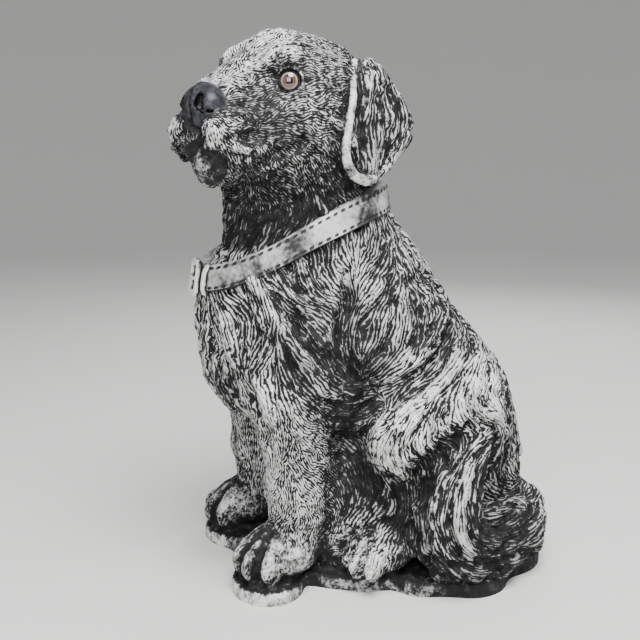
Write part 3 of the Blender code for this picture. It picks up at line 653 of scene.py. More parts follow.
def ear_rim(side):
    """The rounded edge of an ear: one bar down its front to the tip and one from there up its back."""
    front = flowing(mirrored(side, (5.7, 0.6, 4.0), (6.6, -0.5, 1.0), (7.0, -1.5, -1.8), (7.2, -1.8, -3.6),
                             (7.3, -1.0, -5.0), (7.3, 0.4, -5.5)), 22)
    back = flowing(mirrored(side, (7.3, 0.4, -5.5), (7.3, 2.1, -5.1), (7.2, 4.6, -3.2), (7.0, 6.3, -1.0),
                            (6.5, 6.1, 0.5), (6.2, 4.9, 2.0), (5.6, 3.2, 3.5)), 24)
    return Limb(front, np.linspace(0.32, 0.46, 22), HEAD), Limb(back, 0.32, HEAD)


def ear(clay, side):
    """A hanging leaf: a thin blade with a rounded edge that lies on the cheek and flares at the back."""
    clay.add(Ball((side * 5.3, 1.8, 2.8), (1.2, 2.5, 1.7), frame=HEAD), 0.8)
    clay.add(Ball((side * 6.4, 2.4, -0.7), (0.85, 3.0, 4.7), frame=HEAD), 0.6)
    clay.add(Ball((side * 6.8, 1.4, -3.1), (0.75, 2.9, 2.5), frame=HEAD), 0.6)
    clay.add(Ball((side * 6.7, 4.2, -1.0), (0.75, 2.6, 2.4), frame=HEAD), 0.6)
    for edge in ear_rim(side):
        clay.add(edge, 0.25)


SHOULDER_LOCKS = [
    (2.4, 0.3, [(5.5, -12, 29), (6.5, -11, 27), (7.5, -10, 25.5), (8.5, -8, 25)]),
    (1.8, 0.3, [(6.8, -9.5, 29), (7.4, -9, 27.5), (8, -8, 26.3), (8.4, -7, 25.8)]),
    (2.6, 0.25, [(5, -13, 28), (6, -12.5, 26), (7.5, -12, 24), (7.8, -12.3, 22), (7, -13.3, 20)]),
    (2.0, 0.3, [(7.5, -11.3, 24), (8.5, -10.6, 22.6), (9, -9.3, 21.2), (9.2, -7.4, 19)]),
    (1.6, 0.3, [(8, -9.8, 24.4), (8.8, -8.8, 23.4), (9.1, -7.6, 21.6), (9.2, -7, 20)]),
    (2.2, 0.25, [(3, -15.5, 26), (4.6, -14.8, 23.5), (5.4, -14.6, 21), (5.2, -14.4, 18)]),
]
HAUNCH_LOCKS = [
    (1.8, 0.3, [(6, 4.4, 23), (7.6, 2.8, 21.8), (8.4, 1.2, 20.6), (8.8, -0.6, 19.4), (8.8, -2.4, 18.4)]),
    (1.6, 0.3, [(10.6, 1, 17.2), (11, -1.6, 16.4), (11, -2.8, 15), (10.2, -3.6, 13.4), (9.6, -2.9, 11),
                (10.6, -1.2, 9.8)]),
    (1.6, 0.3, [(11, 0.4, 16.8), (11.6, -1.4, 15.4), (11.8, -2.2, 13.6), (12, -1.2, 12.2), (12, 0.6, 12)]),
    (1.5, 0.3, [(11.2, 1, 16.4), (12, 0, 15), (12.3, 0, 13.8), (12, 1.8, 13), (11.7, 3.2, 13.2)]),
    (1.4, 0.3, [(10.8, 2.6, 17), (11.6, 1.6, 15.6), (11.9, 2.2, 14.4), (11.6, 4.2, 14.4)]),
    (1.5, 0.3, [(10, 4.6, 17.8), (11, 4, 16.4), (11.2, 4.8, 15.2), (10.8, 6.6, 15)]),
    (1.6, 0.35, [(9.2, 6.4, 18), (10.6, 5.6, 16.6), (10.8, 6.4, 15.4), (10, 8.4, 15)]),
]


def coat(clay, side):
    """The big locks and partings of one side, the same on both. A lock is its width, rise and line."""
    groove(clay, mirrored(side, (8.2, -5.5, 28.0), (8.2, -5.4, 25.8), (8.2, -6.0, 23.7), (8.0, -6.2, 21.9),
                          (8.2, -5.1, 19.7), (9.0, -3.2, 18.7)), 2.0, 0.9)
    for width, rise, line in SHOULDER_LOCKS:
        lock(clay, mirrored(side, *line), width, rise)
    locks(clay, mirrored(side, (8.4, -6.6, 18.6), (8.4, -5.0, 17.9), (8.0, -3.0, 18.3)),
          mirrored(side, (8.4, -6.6, 14.9), (8.4, -5.0, 14.6), (8.0, -3.3, 15.2)), 4, 1.5, 0.5)
    groove(clay, mirrored(side, (5.8, 5.8, 22.4), (7.8, 3.6, 21.2), (8.7, 2.4, 19.9), (9.2, 0.6, 18.6),
                          (9.5, -1.2, 17.6), (9.8, -2.6, 16.4)), 1.5, 0.6)
    for width, rise, line in HAUNCH_LOCKS:
        lock(clay, mirrored(side, *line), width, rise)


def edges(clay, side):
    """The dark edges of the forms: under the knee, between the toes and down the flank."""
    groove(clay, mirrored(side, (10.0, -3.4, 10.6), (10.7, -2.4, 9.4), (11.0, -0.6, 8.7), (11.0, 1.0, 8.6)),
           1.6, 0.7)
    for paw, places, top in ((FORE_PAW, FORE_TOES, 5.6), (HIND_PAW, HIND_TOES, 4.8)):
        for (angle, reach), (next_angle, next_reach) in zip(places, places[1:]):
            way, out = (angle + next_angle) / 2, (reach + next_reach) / 2
            path = [(out - 1.4, top), (out + 0.3, top - 0.9), (out + 1.4, top - 2.6), (out + 1.5, 1.6)]
            groove(clay, [round_paw(side, paw, way, out, height) for out, height in path], 0.5, 0.42)


def tail_edges(clay):
    """The deep partings in front of the tail and inside its curl."""
    groove(clay, [(11.4, 3.2, 14.0), (11.8, 1.4, 12.6), (12.0, -0.5, 9.8), (12.2, -1.1, 6.5),
                  (12.2, -0.2, 3.4)], 1.8, 0.9)
    groove(clay, [(10.6, 7.0, 13.6), (11.4, 6.0, 11.4), (11.6, 6.2, 9.2), (11.4, 8.0, 7.4),
                  (10.0, 10.4, 7.2)], 1.5, 0.9)


def chest_tufts(clay):
    """Five locks side by side down the breast."""
    locks(clay, [(-4.0, -14.4, 21.5), (-3.4, -14.4, 18.0), (-2.4, -13.4, 15.2)],
          [(4.0, -14.4, 21.5), (3.2, -14.4, 18.0), (2.2, -13.4, 15.0)], 5, 1.8, 0.25)


def tail_locks(clay):
    """Five long locks along the tail, from its outer line to its inner one."""
    outer = [(11.6, 6.1, 13.7), (12.6, 3.0, 12.6), (13.2, 0.6, 10.0), (13.6, 0.0, 6.0), (13.7, 1.8, 2.8),
             (13.0, 6.0, 1.8), (10.5, 11.0, 1.9), (6.5, 14.8, 2.6)]
    inner = [(11.6, 6.4, 13.0), (12.4, 5.6, 11.2), (12.8, 4.9, 9.0), (13.2, 4.9, 6.8), (13.0, 6.2, 5.4),
             (11.8, 8.4, 5.0), (9.5, 11.6, 5.2), (5.5, 14.2, 6.0)]
    locks(clay, outer, inner, 5, 1.5, 0.3)


dog = Clay()
trunk(dog)
for side in (1, -1):
    haunch(dog, side)
    foreleg(dog, side)
tail(dog)
slab(dog)
skull(dog)
nose(dog)
for side in (1, -1):
    mouth(dog, side)
    brow_and_eye(dog, side)
    ear(dog, side)
bare_dog = Clay(dog.steps)
for side in (1, -1):
    coat(dog, side)
    edges(dog, side)
chest_tufts(dog)
tail_locks(dog)
tail_edges(dog)


# The lie of the hair
# The sculptor combed every strand into the clay with a loop tool. Strokes of that comb are listed on one
# side and mirrored, and the hair everywhere follows the strokes near it.
HEAD_STROKES = [
    [(0, -9.5, 2.9), (0, -6.8, 4.6), (0, -3.5, 6.5), (0, 0, 6.9), (0, 3.5, 6.0), (0, 6, 3.5), (0, 6.5, -1)],
    [(1.5, -9.6, 1.5), (2.4, -7.5, 2.2), (3.0, -6.3, 2.5)],
    [(2.5, -6.0, 4.5), (3.6, -4.2, 5.2), (4.4, -2.5, 5.0), (5.0, -0.5, 4.3)],
    [(1.2, -5.5, 5.2), (1.8, -2.5, 6.4), (2.6, 1.0, 6.2), (3.2, 4, 5), (3.5, 6, 1)],
    [(2.6, -9.0, 0.0), (3.8, -7.0, 0.8), (4.8, -4.8, 0.9), (5.6, -2.5, 1.2), (6, 0, 1.5)],
    [(3.2, -9.0, -1.5), (4.2, -6.8, -0.8), (5.2, -4.0, -1.0), (5.8, -1.5, -2.2), (6.0, 0.5, -4.0)],
    [(1.8, -10.6, -1.5), (1.9, -10.8, -3.2), (2.2, -10.3, -4.9)],
    [(3.2, -9.2, -2.6), (3.4, -8.8, -4.2), (3.6, -8.6, -5.4)],
    [(4.2, -7.0, -3.0), (4.4, -6.3, -4.2), (4.6, -5.6, -5)],
    [(4.9, -5.2, -2.2), (5.3, -3.4, -3.6), (5.2, -1.6, -5.2), (4.8, -0.5, -6.5)],
    [(2.5, -6.5, -6.6), (3.0, -4.0, -7.0), (3.5, -2.0, -7.5)],
    [(5.8, 1.5, 3.8), (6.9, 1.0, 1.0), (7.3, 0.2, -2.0), (7.4, 0.6, -4.8)],
    [(6.0, 3.2, 3.2), (7.0, 3.5, 0.8), (7.5, 3.4, -1.8), (7.3, 2.5, -4.4)],
    [(6.2, 4.8, 1.8), (7.0, 5.6, 0), (7.2, 5.2, -2.0), (7.2, 3.8, -3.6)],
    [(4.0, 5.5, -1), (4.0, 5.5, -4), (4.0, 5.0, -7)],
]
BODY_STROKES = [
    [(5, -11.5, 34), (5.4, -11.3, 33), (4.8, -12, 31), (4, -12.5, 30)],
    [(7, -8.8, 34), (7, -9, 33), (6.5, -9.7, 32), (6, -10.5, 31)],
    [(2.2, -13.2, 33.5), (1.8, -13.5, 32.5), (0, -14, 30)],
    [(3, -15.5, 26), (5, -14.2, 25), (6, -13.7, 24), (6, -14, 22), (6.4, -14, 20)],
    [(7.2, -8, 29.5), (7.5, -7.9, 28), (8, -7, 26.5), (8.2, -6, 26)],
    [(7.6, -6.6, 30), (7.9, -6.2, 28), (8.1, -5.1, 27)],
    [(6.7, -1.3, 30.6), (7.6, -2.2, 29), (8, -3.5, 27.8), (8.2, -4.7, 27)],
    [(6.1, 0, 30.3), (7.3, -0.8, 28.3), (8.1, -2.4, 26.6), (8.5, -4.4, 25), (8.7, -5.2, 24)],
    [(6.4, 0.7, 28.7), (7.4, 0, 27), (8.2, -1, 25), (8.6, -2.3, 23), (8.6, -3.3, 21)],
    [(8.7, -5.5, 23.6), (9, -5.8, 22), (8.8, -4.9, 20.2)],
    [(3.4, -15.8, 23.3), (4.1, -15.3, 22), (5.2, -14.6, 20.5), (5.7, -14.2, 19), (7.2, -13.5, 17.5)],
    [(3.5, -15, 21), (0.5, -16, 20)],
    [(6.5, -13.8, 18.7), (7.8, -13.1, 18), (8.6, -12.5, 17)],
    [(9.1, -10.7, 19.8), (9.5, -10, 18.7), (9.7, -9, 17.8), (9.3, -7.5, 17)],
    [(6, -0.8, 31.5), (6.5, 0, 29.5), (6.7, 1, 27.7), (7.1, 1.6, 25.8), (7.6, 1.7, 24)],
    [(6, 2, 27.5), (5.4, 3.7, 26), (5.2, 5, 24.5), (5.7, 5.5, 23), (7.2, 4.1, 22), (8, 3, 21.2)],
    [(5.2, 3.5, 26.7), (3.3, 6.7, 24), (4.4, 7.2, 22.3), (6.4, 6.6, 21), (8.6, 4.7, 20), (9.5, 3, 19)],
    [(3.8, 7.2, 23), (3.2, 9, 21), (6, 8.3, 19.8), (8.9, 6.2, 19), (10.2, 4.8, 18)],
    [(2.4, 10, 20), (3.2, 11, 18.3), (7.4, 9, 18), (9.8, 7.2, 17), (10.1, 7.9, 15.5)],
    [(0, 1, 33), (0, 3, 29.5), (0, 6, 26), (0, 9.2, 22), (0, 12.2, 17.5), (0, 14, 15), (0, 15, 11),
     (0, 15.2, 7)],
    [(5, 10.5, 17), (5, 12, 14), (5, 12.6, 11), (5, 12.6, 8)],
    [(7.9, -0.7, 26), (8.3, -0.9, 24.3), (8.5, -0.8, 22.6), (8.5, -1.4, 21), (8.5, -4, 19.3)],
    [(7.5, 1.2, 25), (7.9, 1.1, 23.4), (8.3, 0.7, 21.5), (8.5, -0.5, 20), (8.2, -3.4, 18.2)],
    [(7.5, 5, 21), (9, 3.7, 19.7), (9.7, 2.2, 18.6), (9.8, 0.6, 17.8)],
    [(9.9, -0.3, 17.5), (10.9, -1.7, 16.2), (11.2, -2.7, 15)],
    [(9.3, 9.3, 14.2), (8.3, 10, 12), (7.8, 10, 9.3)],
    [(11.6, -1.7, 11.6), (11.1, -1.1, 9.5), (10.2, -0.4, 7.2), (10.9, -0.6, 5)],
    [(8.7, 0, 7), (8.8, -2.5, 6.2), (9, -4.5, 5), (9, -6.3, 3)],
    [(7.2, -13.4, 19), (7, -13.4, 16.6), (6.8, -12.6, 13.8), (7.3, -12, 11.7), (7.3, -12, 10)],
    [(8.6, -12.2, 18.8), (8.8, -12.3, 17), (8.8, -11.5, 15), (8.5, -11.2, 12.8), (7.8, -11.5, 10.8)],
    [(9.5, -10, 18.8), (9.8, -9.5, 17.7), (9.6, -8.6, 16.5), (8.1, -6.7, 14.6)],
    [(9.5, -10.4, 15.7), (9.3, -9.2, 14.5), (8.5, -7.5, 13), (7, -6.2, 11.6)],
    [(8.7, -11, 13), (8.9, -9.7, 11.7), (8.7, -8.3, 10.6), (7.4, -6.7, 8.4)],
    [(8, -11.6, 9.3), (7.6, -11.4, 7.3), (6.6, -12.3, 5.9), (6.4, -14, 4.4)],
    [(8.5, -10, 6.6), (8.8, -9.7, 4.6), (8.9, -10, 2.5)],
    [(3.4, -10, 14), (3.4, -9.6, 10), (3.6, -10, 6)],
    [(0, -16.5, 24), (0, -16.6, 20), (0, -14.5, 16)],
]
TAIL_STROKES = [
    [(11.7, 5.3, 14), (12.4, 3.4, 12.6), (12.4, 1.9, 10.8), (12.8, 1, 9.3), (13.1, 0.9, 7.6),
     (13.8, 1.8, 5.8)],
    [(10.6, 7.4, 13), (10.3, 7.2, 11.3), (12.7, 5.3, 10.2)],
    [(11.9, 3.9, 13.3), (12.9, 3.2, 11.8), (13.4, 3.3, 10.2), (13.8, 3.4, 8.4), (13.4, 4.6, 6.5)],
    [(13.9, 1.9, 5.2), (14.1, 3.4, 4.3), (13.7, 6, 3.7), (12.7, 8.3, 4.2), (11.1, 11, 5)],
    [(13.2, 1.8, 2.4), (12.8, 3.9, 1.4), (13.2, 6.4, 1.4), (12.1, 9.4, 2.1), (8, 13.5, 2.5), (2, 15.4, 3)],
    [(8.2, 8.7, 7.4), (8.1, 10.6, 6.5), (9.5, 11.4, 6)],
    [(8, 12.5, 6.5), (4, 14.5, 6.5), (-1, 14.5, 6.5)],
]


def smooth(share):
    """A smooth step: the share, held between 0 and 1, squared, times 3 less twice the share."""
    share = np.clip(share, 0, 1)
    return share * share * (3 - 2 * share)


def between_nodes(table, place):
    """Values between the nodes of a table that repeats: each of the 8 nodes round counts by nearness."""
    corner = np.floor(place).astype(int)
    share = place - corner
    total = 0.0
    for offset in np.ndindex(2, 2, 2):
        near = np.prod(np.where(offset, share, 1 - share), axis=1)
        node = (corner + offset) % table.shape[:3]
        total = total + near[:, None] * table[node[:, 0], node[:, 1], node[:, 2]]
    return total


class Lie:
    """The hair's direction at any place, the mean of the directions of the strokes round it.

    A bit of stroke weighs 1 over the square of the sum of its squared distance and a small number.
    """

    LOW, HIGH, CELL = np.array((-17.0, -20.0, -2.0)), np.array((17.0, 19.0, 50.0)), 0.8
    SPACING, SMALL, CHUNK = 0.6, 0.25, 20000

    def __init__(self, strokes):
        places, ways = [], []
        for stroke in strokes:
            stroke = np.asarray(stroke, float)
            for a, b in zip(stroke, stroke[1:]):
                count = max(1, round(np.linalg.norm(b - a) / self.SPACING))
                shares = (np.arange(count) + 0.5) / count
                places.append(a + shares[:, None] * (b - a))
                ways.append(np.tile((b - a) / np.linalg.norm(b - a), (count, 1)))
        places, ways = np.concatenate(places).astype(np.float32), np.concatenate(ways).astype(np.float32)
        counts = np.ceil((self.HIGH - self.LOW) / self.CELL).astype(int)
        nodes = (np.indices(counts).reshape(3, -1).T * self.CELL + self.LOW).astype(np.float32)
        field = np.empty_like(nodes)
        for start in range(0, len(nodes), self.CHUNK):
            part = nodes[start : start + self.CHUNK]
            square = (part**2).sum(1)[:, None] + (places**2).sum(1) - 2 * part @ places.T
            field[start : start + self.CHUNK] = (1 / (square + self.SMALL) ** 2) @ ways
        field /= np.linalg.norm(field, axis=1)[:, None] + 1e-9
        self.field = field.reshape(*counts, 3)

    def at(self, points):
        way = between_nodes(self.field, (points - self.LOW) / self.CELL)
        return way / (np.linalg.norm(way, axis=1)[:, None] + 1e-9)


strokes = [HEAD.outward(mirrored(side, *stroke)) for stroke in HEAD_STROKES for side in (1, -1)]
strokes += [mirrored(side, *stroke) for stroke in BODY_STROKES for side in (1, -1)]
strokes += TAIL_STROKES + dog.combed
lie = Lie(strokes)


TABLE_SIDE = 40


def hair(points, grain, length, seed):
    """Noise drawn out along the hair, with mean 0 and spread 1.

    It is the mean of a mottle of that grain at places stepped along the lie of the hair, both ways.
    """
    table = np.random.default_rng(seed).random((TABLE_SIDE, TABLE_SIDE, TABLE_SIDE, 1))
    total = between_nodes(table, points / grain)[:, 0]
    steps = round(length / (2 * grain))
    for way in (1, -1):
        place = points
        for _ in range(steps):
            place = place + way * grain * lie.at(place)
            total += between_nodes(table, place / grain)[:, 0]
    return (total - total.mean()) / total.std()


def cover(points, mass, soft=0.3):
    """1 inside a mass, 0 further than soft outside it, and a smooth step between."""
    return smooth(1 - mass.distance(points) / soft)


# Skin, relief and paint of the casting
# Head and body are two pieces, whose seam lies under the strap. Their hair stands out in scored locks.
# Black paint was wiped over all of it and white dragged over the high places with a nearly dry brush.
# Painted shade is added in hollows, folds, pockets and the nostrils, and painted highlights on some crests
# and edges.
def quartered(corners, quads):
    """Each quad cut in four: new corners stand at the middles of its edges and of itself."""
    ends = np.stack([quads, np.roll(quads, -1, 1)], -1).reshape(-1, 2)
    edges, which = np.unique(np.sort(ends, 1), axis=0, return_inverse=True)
    which = which.reshape(-1, 4) + len(corners)
    centre = np.arange(len(quads)) + len(corners) + len(edges)
    points = np.concatenate([corners, corners[edges].mean(1), corners[quads].mean(1)])
    parts = [np.stack([quads[:, k], which[:, k], centre, which[:, k - 1]], 1) for k in range(4)]
    return points, np.concatenate(parts)


def skin(clay, low, high, cell):
    """Corners and quads of the field's zero surface, taken on a grid of cells and then cut in four."""
    axes = [np.arange(a, b, cell) for a, b in zip(low, high)]
    volume = openvdb.FloatGrid(1.0)
    volume.copyFromArray(np.clip(clay.on_grid(axes), -1, 1).astype(np.float32))
    corners, quads = volume.convertToQuads()
    points, quads = quartered(corners * cell + np.array(low), quads.astype(int))
    return clay.draw_on(points, 3), quads


CHIN = Ball((0.3, -10.4, -3.8), (1.9, 1.9, 1.8), frame=HEAD)
TAIL_SIDE = Ball((11.6, 5.5, 7.0), (4.0, 9.0, 8.0))


def boldness(points):
    """How far the hair stands out: full on the body, less on the head and legs, none on bare places."""
    bold = np.ones(len(points))
    bold -= 0.62 * cover(points, Ball((0, -2.5, -0.5), (6.6, 9.5, 7.0), frame=HEAD), 1.0)
    for side in (1, -1):
        bold += 0.45 * cover(points, Ball((side * 6.9, 2.2, -1.5), (0.9, 4.6, 4.4), frame=HEAD), 0.4)
        bold -= 0.4 * cover(points, Limb(mirrored(side, (6, -9.5, 13), (6, -9.5, 6)), 3.2), 1.5)
        bold *= 1 - 0.85 * cover(points, Ball((side * 6.2, -12.4, 2.6), (3.6, 4.4, 3.2)), 1.5)
        bold *= 1 - 0.8 * cover(points, Ball((side * 8.8, -3.8, 2.6), (3.2, 4.0, 2.8)), 1.2)
    bold += 0.35 * cover(points, TAIL_SIDE, 2.0)
    bold *= 1 - 0.97 * cover(points, CHIN, 0.3)
    return bold * (1 - bare(points)) * smooth((points[:, 2] - 1.0) / 0.8)


def broadness(points):
    """How coarse the comb was: 0 on the head and the forelegs, 1 on the body, the ears and the tail."""
    broad = 1 - cover(points, Ball((0, -2.5, -0.5), (7.4, 10.0, 8.0), frame=HEAD), 1.0)
    for side in (1, -1):
        broad += cover(points, Ball((side * 6.9, 2.2, -1.5), (1.0, 5.0, 4.8), frame=HEAD), 0.4)
        broad -= cover(points, Limb(mirrored(side, (6, -9.5, 15), (6, -9.5, 5)), 3.6), 1.5)
    return np.clip(broad, 0, 1)


def bare(points):
    """Smooth places: the nose, the lids and the rims of the ears."""
    share = 0
    for mass in NOSE:
        share = np.maximum(share, cover(points, mass, 0.5))
    for side in (1, -1):
        share = np.maximum(share, cover(points, Limb(lid_line(side)[0], LID_WIDTH, HEAD), 0.2))
        share = np.maximum(share, cover(points, ear_rim(side)[0], 0.15))
        share = np.maximum(share, 0.6 * cover(points, ear_rim(side)[1], 0.1))
    return share


# Patches and lines of whiter or darker paint. Some are the brush's own unevenness. Others are painted light
# and shade: painted shade under the jaw, in the tail's curl, in the cheek's folds and between foreleg and
# haunch, and painted highlights on lit crests and edges.
MIDDLE_PATCHES = [
    (0.3, 1.5, Ball((0, -6.0, 4.2), (2.6, 6.5, 3.2), frame=HEAD)),
    (-0.12, 1.5, Ball((0, -2, -2), (8, 8, 6), frame=HEAD)),
    (0.2, 3.0, Ball((0, -15.0, 24.0), (6.0, 4.0, 6.0))),
    (-0.4, 2.5, Ball((12.5, 9.0, 2.5), (4.0, 6.0, 3.5))),
    (-0.25, 1.0, TAIL_SIDE),
    (-0.36, 0.8, CHIN),
]
TAIL_LIGHT_AND_SHADE = [
    (-0.5, 0.5, [(11.4, 3.2, 14.0), (11.9, 1.2, 12.4), (12.2, -0.6, 9.8), (12.4, -1.2, 6.5),
                 (12.4, -0.3, 3.4)]),
    (-0.5, 0.7, [(10.8, 7.0, 13.4), (11.6, 6.2, 11.4), (12.0, 6.6, 9.2), (12.0, 8.4, 7.6),
                 (10.6, 10.6, 7.4)]),
    (0.3, 1.0, [(12.0, 5.0, 13.6), (12.8, 3.4, 11.4), (13.2, 2.4, 9.0), (13.6, 2.4, 6.4),
                (13.8, 4.4, 4.6)]),
    (0.2, 0.8, [(13.2, 6.4, 6.0), (12.4, 9.4, 5.4), (10.4, 12.2, 5.0)]),
    (-0.25, 0.8, [(13.2, 3.0, 2.0), (13.4, 6.4, 1.9), (11.6, 10.6, 2.1)]),
]
FACE_LIGHT_AND_SHADE = [
    (0.2, 0.5, [(2.2, -7.0, 3.9), (2.8, -6.1, 4.8), (2.7, -4.8, 5.6)]),
    (-0.12, 0.2, [(3.7, -6.6, 2.9), (3.65, -6.0, 4.0), (3.8, -5.6, 4.7), (3.6, -4.2, 5.2),
                  (3.7, -2.6, 5.5)]),
    (0.25, 0.5, [(4.6, -6.6, 1.4), (5.2, -5.4, 0.9), (5.6, -4.2, 1.0)]),
    (-0.3, 0.4, [(3.6, -9.5, -1.95), (3.8, -8.9, -2.0), (4.1, -8.3, -1.9)]),
    (0.15, 0.3, [(4.3, -10.0, -2.8), (4.7, -9.2, -2.9), (4.8, -8.2, -2.5)]),
    (0.2, 0.35, [(4.2, -7.9, -4.2), (4.8, -6.6, -3.5), (5.4, -5.6, -2.4)]),
    (-0.25, 0.45, [(4.9, -6.0, -3.8), (5.4, -5.2, -3.2), (5.7, -4.6, -2.4)]),
    (0.2, 0.3, [(1.7, -8.2, -5.3), (3.6, -6.9, -5.2), (5.3, -5.3, -4.4)]),
    (-0.3, 0.6, [(3.0, -6.6, -6.2), (3.9, -5.4, -6.1), (4.4, -4.4, -5.8)]),
    (0.4, 0.16, [(2.1, -10.2, 1.5), (2.3, -10.1, 0.8), (2.3, -10.0, 0.2)]),
]
HEAD_PATCHES = [
    (0.12, 0.5, (6.9, 2.2, -1.5), (1.0, 5.0, 4.8)),
    (-0.4, 1.0, (2.2, -9.9, -1.8), (2.0, 2.4, 2.2)),
    (-0.6, 1.5, (3.0, -5.0, -8.2), (6.0, 7.0, 2.6)),
]
BODY_PATCHES = [
    (0.6, 1.0, (8.8, -4.0, 4.2), (2.8, 2.6, 2.2)),
    (0.4, 2.0, (8.5, 2.0, 15.0), (4.0, 6.0, 5.0)),
    (-0.28, 2.0, (8.6, -6.5, 21.5), (2.0, 4.0, 4.5)),
    (0.12, 1.5, (11.6, -1.6, 13.6), (1.6, 2.6, 3.4)),
    (-0.25, 2.0, (7.2, -4.0, 10.0), (2.5, 3.0, 7.0)),
]
LID_WHITE, FRONT_RIM_WHITE, BACK_RIM_WHITE, LEG_WHITE, SLAB_WHITE = 0.25, 0.5, 0.3, 0.2, 0.2
SLAB_RIM_TOP = 1.15


def paleness(points):
    """How much more white the brush left than elsewhere, or less where the black wash stayed, with painted
    highlights on lit ridges and edges and painted shade in folds, pockets, under the jaw and in the tail's
    curl.

    A patch is its amount, the width of its soft edge and its ball. A line of light and shade is its amount,
    width and line.
    """
    pale = SLAB_WHITE * (points[:, 2] < SLAB_RIM_TOP)
    for amount, soft, ball in MIDDLE_PATCHES:
        pale += amount * cover(points, ball, soft)
    for amount, width, line in TAIL_LIGHT_AND_SHADE:
        pale += amount * cover(points, Limb(flowing(line, 13), width), 1.2 * width)
    for side in (1, -1):
        for amount, width, line in FACE_LIGHT_AND_SHADE:
            line = flowing(mirrored(side, *line), 9)
            pale += amount * cover(points, Limb(line, width, HEAD), width)
        for patches, place in ((HEAD_PATCHES, HEAD), (BODY_PATCHES, BODY)):
            for amount, soft, centre, radii in patches:
                ball = Ball(mirrored(side, centre)[0], radii, frame=place)
                pale += amount * cover(points, ball, soft)
        front_rim, back_rim = ear_rim(side)
        pale += FRONT_RIM_WHITE * cover(points, front_rim, 0.12)
        pale += BACK_RIM_WHITE * cover(points, back_rim, 0.1)
        pale += LID_WHITE * cover(points, Limb(lid_line(side)[0], LID_WIDTH, HEAD), 0.12)
        leg = mirrored(side, (6, -10, 17), (6, -10, 8), (6, -13, 3))
        pale += LEG_WHITE * cover(points, Limb(leg, 3.6), 1.5)
    return pale


LOCK_GRAIN, LOCK_LENGTH, LOCK_DEPTH = 0.85, 6.0, 0.34
STRAND_GRAIN, STRAND_LENGTH, STRAND_DEPTH = 0.27, 2.0, 0.12
LOCK_SEED, STRAND_SEED, PARTING_WIDTH = 3, 5, 0.4
OCCLUSION_REACHES, OCCLUSION_WEIGHTS = (0.5, 1.5, 4.0), np.array((0.5, 0.6, 0.5))
NOSE_EDGE, NOSE_FADE, GROOVE_LINE, HOLE_FADE = 0.3, 0.15, 0.1, 0.15


def furred(name, clay, low, high, cell, material):
    """A piece of the casting: its skin, raised by the hair, with what its paint needs on each corner."""
    points, quads = skin(clay, low, high, cell)
    mesh = bmesh.new()
    data = bpy.data.meshes.new(name)
    data.from_pydata(points, [], quads.tolist())
    mesh.from_mesh(data)
    whole = mesh.verts[:] + mesh.edges[:] + mesh.faces[:]
    bmesh.ops.bisect_plane(mesh, geom=whole, plane_co=(0, 0, 0), plane_no=(0, 0, 1), clear_inner=True,
                           dist=1e-4)
    ground_edge = [edge for edge in mesh.edges if edge.is_boundary]
    bmesh.ops.triangle_fill(mesh, edges=ground_edge, use_beauty=True)
    bmesh.ops.recalc_face_normals(mesh, faces=mesh.faces[:])
    mesh.to_mesh(data)
    mesh.free()
    flat = np.empty(len(data.vertices) * 3, np.float32)
    data.vertices.foreach_get("co", flat)
    points = flat.reshape(-1, 3).astype(float)

    out = clay.normals(points)
    out /= np.linalg.norm(out, axis=1)[:, None] + 1e-9
    way = lie.at(points)
    across = np.cross(out, way)
    across /= np.linalg.norm(across, axis=1)[:, None] + 1e-9
    locks_here = hair(points, LOCK_GRAIN, LOCK_LENGTH, LOCK_SEED)
    lock_height = 0.5 * np.tanh(locks_here) - np.exp(-((locks_here / PARTING_WIDTH) ** 2))
    strand_height = np.tanh(hair(points, STRAND_GRAIN, STRAND_LENGTH, STRAND_SEED))
    bold_here = boldness(points)
    relief = bold_here * (LOCK_DEPTH * lock_height + STRAND_DEPTH * strand_height)
    raised = points + relief[:, None] * out
    raised[:, 2] = np.maximum(raised[:, 2], 0)
    data.vertices.foreach_set("co", metres(raised).astype(np.float32).ravel())

    # How shut in each corner is, a cheap ambient occlusion. The paint reads it as black wash left in small
    # recesses and as painted shade in broad hollows.
    occlusion = [1 - clay.distance(points + reach * out) / reach for reach in OCCLUSION_REACHES]
    off_nose = np.min([mass.distance(points) for mass in NOSE], 0)
    groove_line = Limb(drawn_line(dog, NOSE_GROOVE, HEAD, 15), GROOVE_LINE)
    # Painted shade: the nostrils and the groove down the nose are painted near black.
    holes = [cover(points, mass, HOLE_FADE) for mass in (nostril(1), nostril(-1), groove_line)]
    values = {"lock": 0.5 + 0.5 * lock_height, "strand": 0.5 + 0.5 * strand_height, "bold": bold_here,
              "broad": broadness(points), "hollow": np.clip(OCCLUSION_WEIGHTS @ occlusion, -1, 1),
              "pale": paleness(points), "nose": smooth((NOSE_EDGE - off_nose) / NOSE_FADE),
              "hole": np.max(holes, 0)}
    for label, numbers in values.items():
        attribute = data.attributes.new(label, "FLOAT", "POINT")
        attribute.data.foreach_set("value", numbers.astype(np.float32))
    attribute = data.attributes.new("across", "FLOAT_VECTOR", "POINT")
    attribute.data.foreach_set("vector", across.astype(np.float32).ravel())
    data.materials.append(material)
    data.shade_smooth()
    made = bpy.data.objects.new(name, data)
    bpy.context.scene.collection.objects.link(made)
    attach(made, "root")
    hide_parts("puppy_casting")


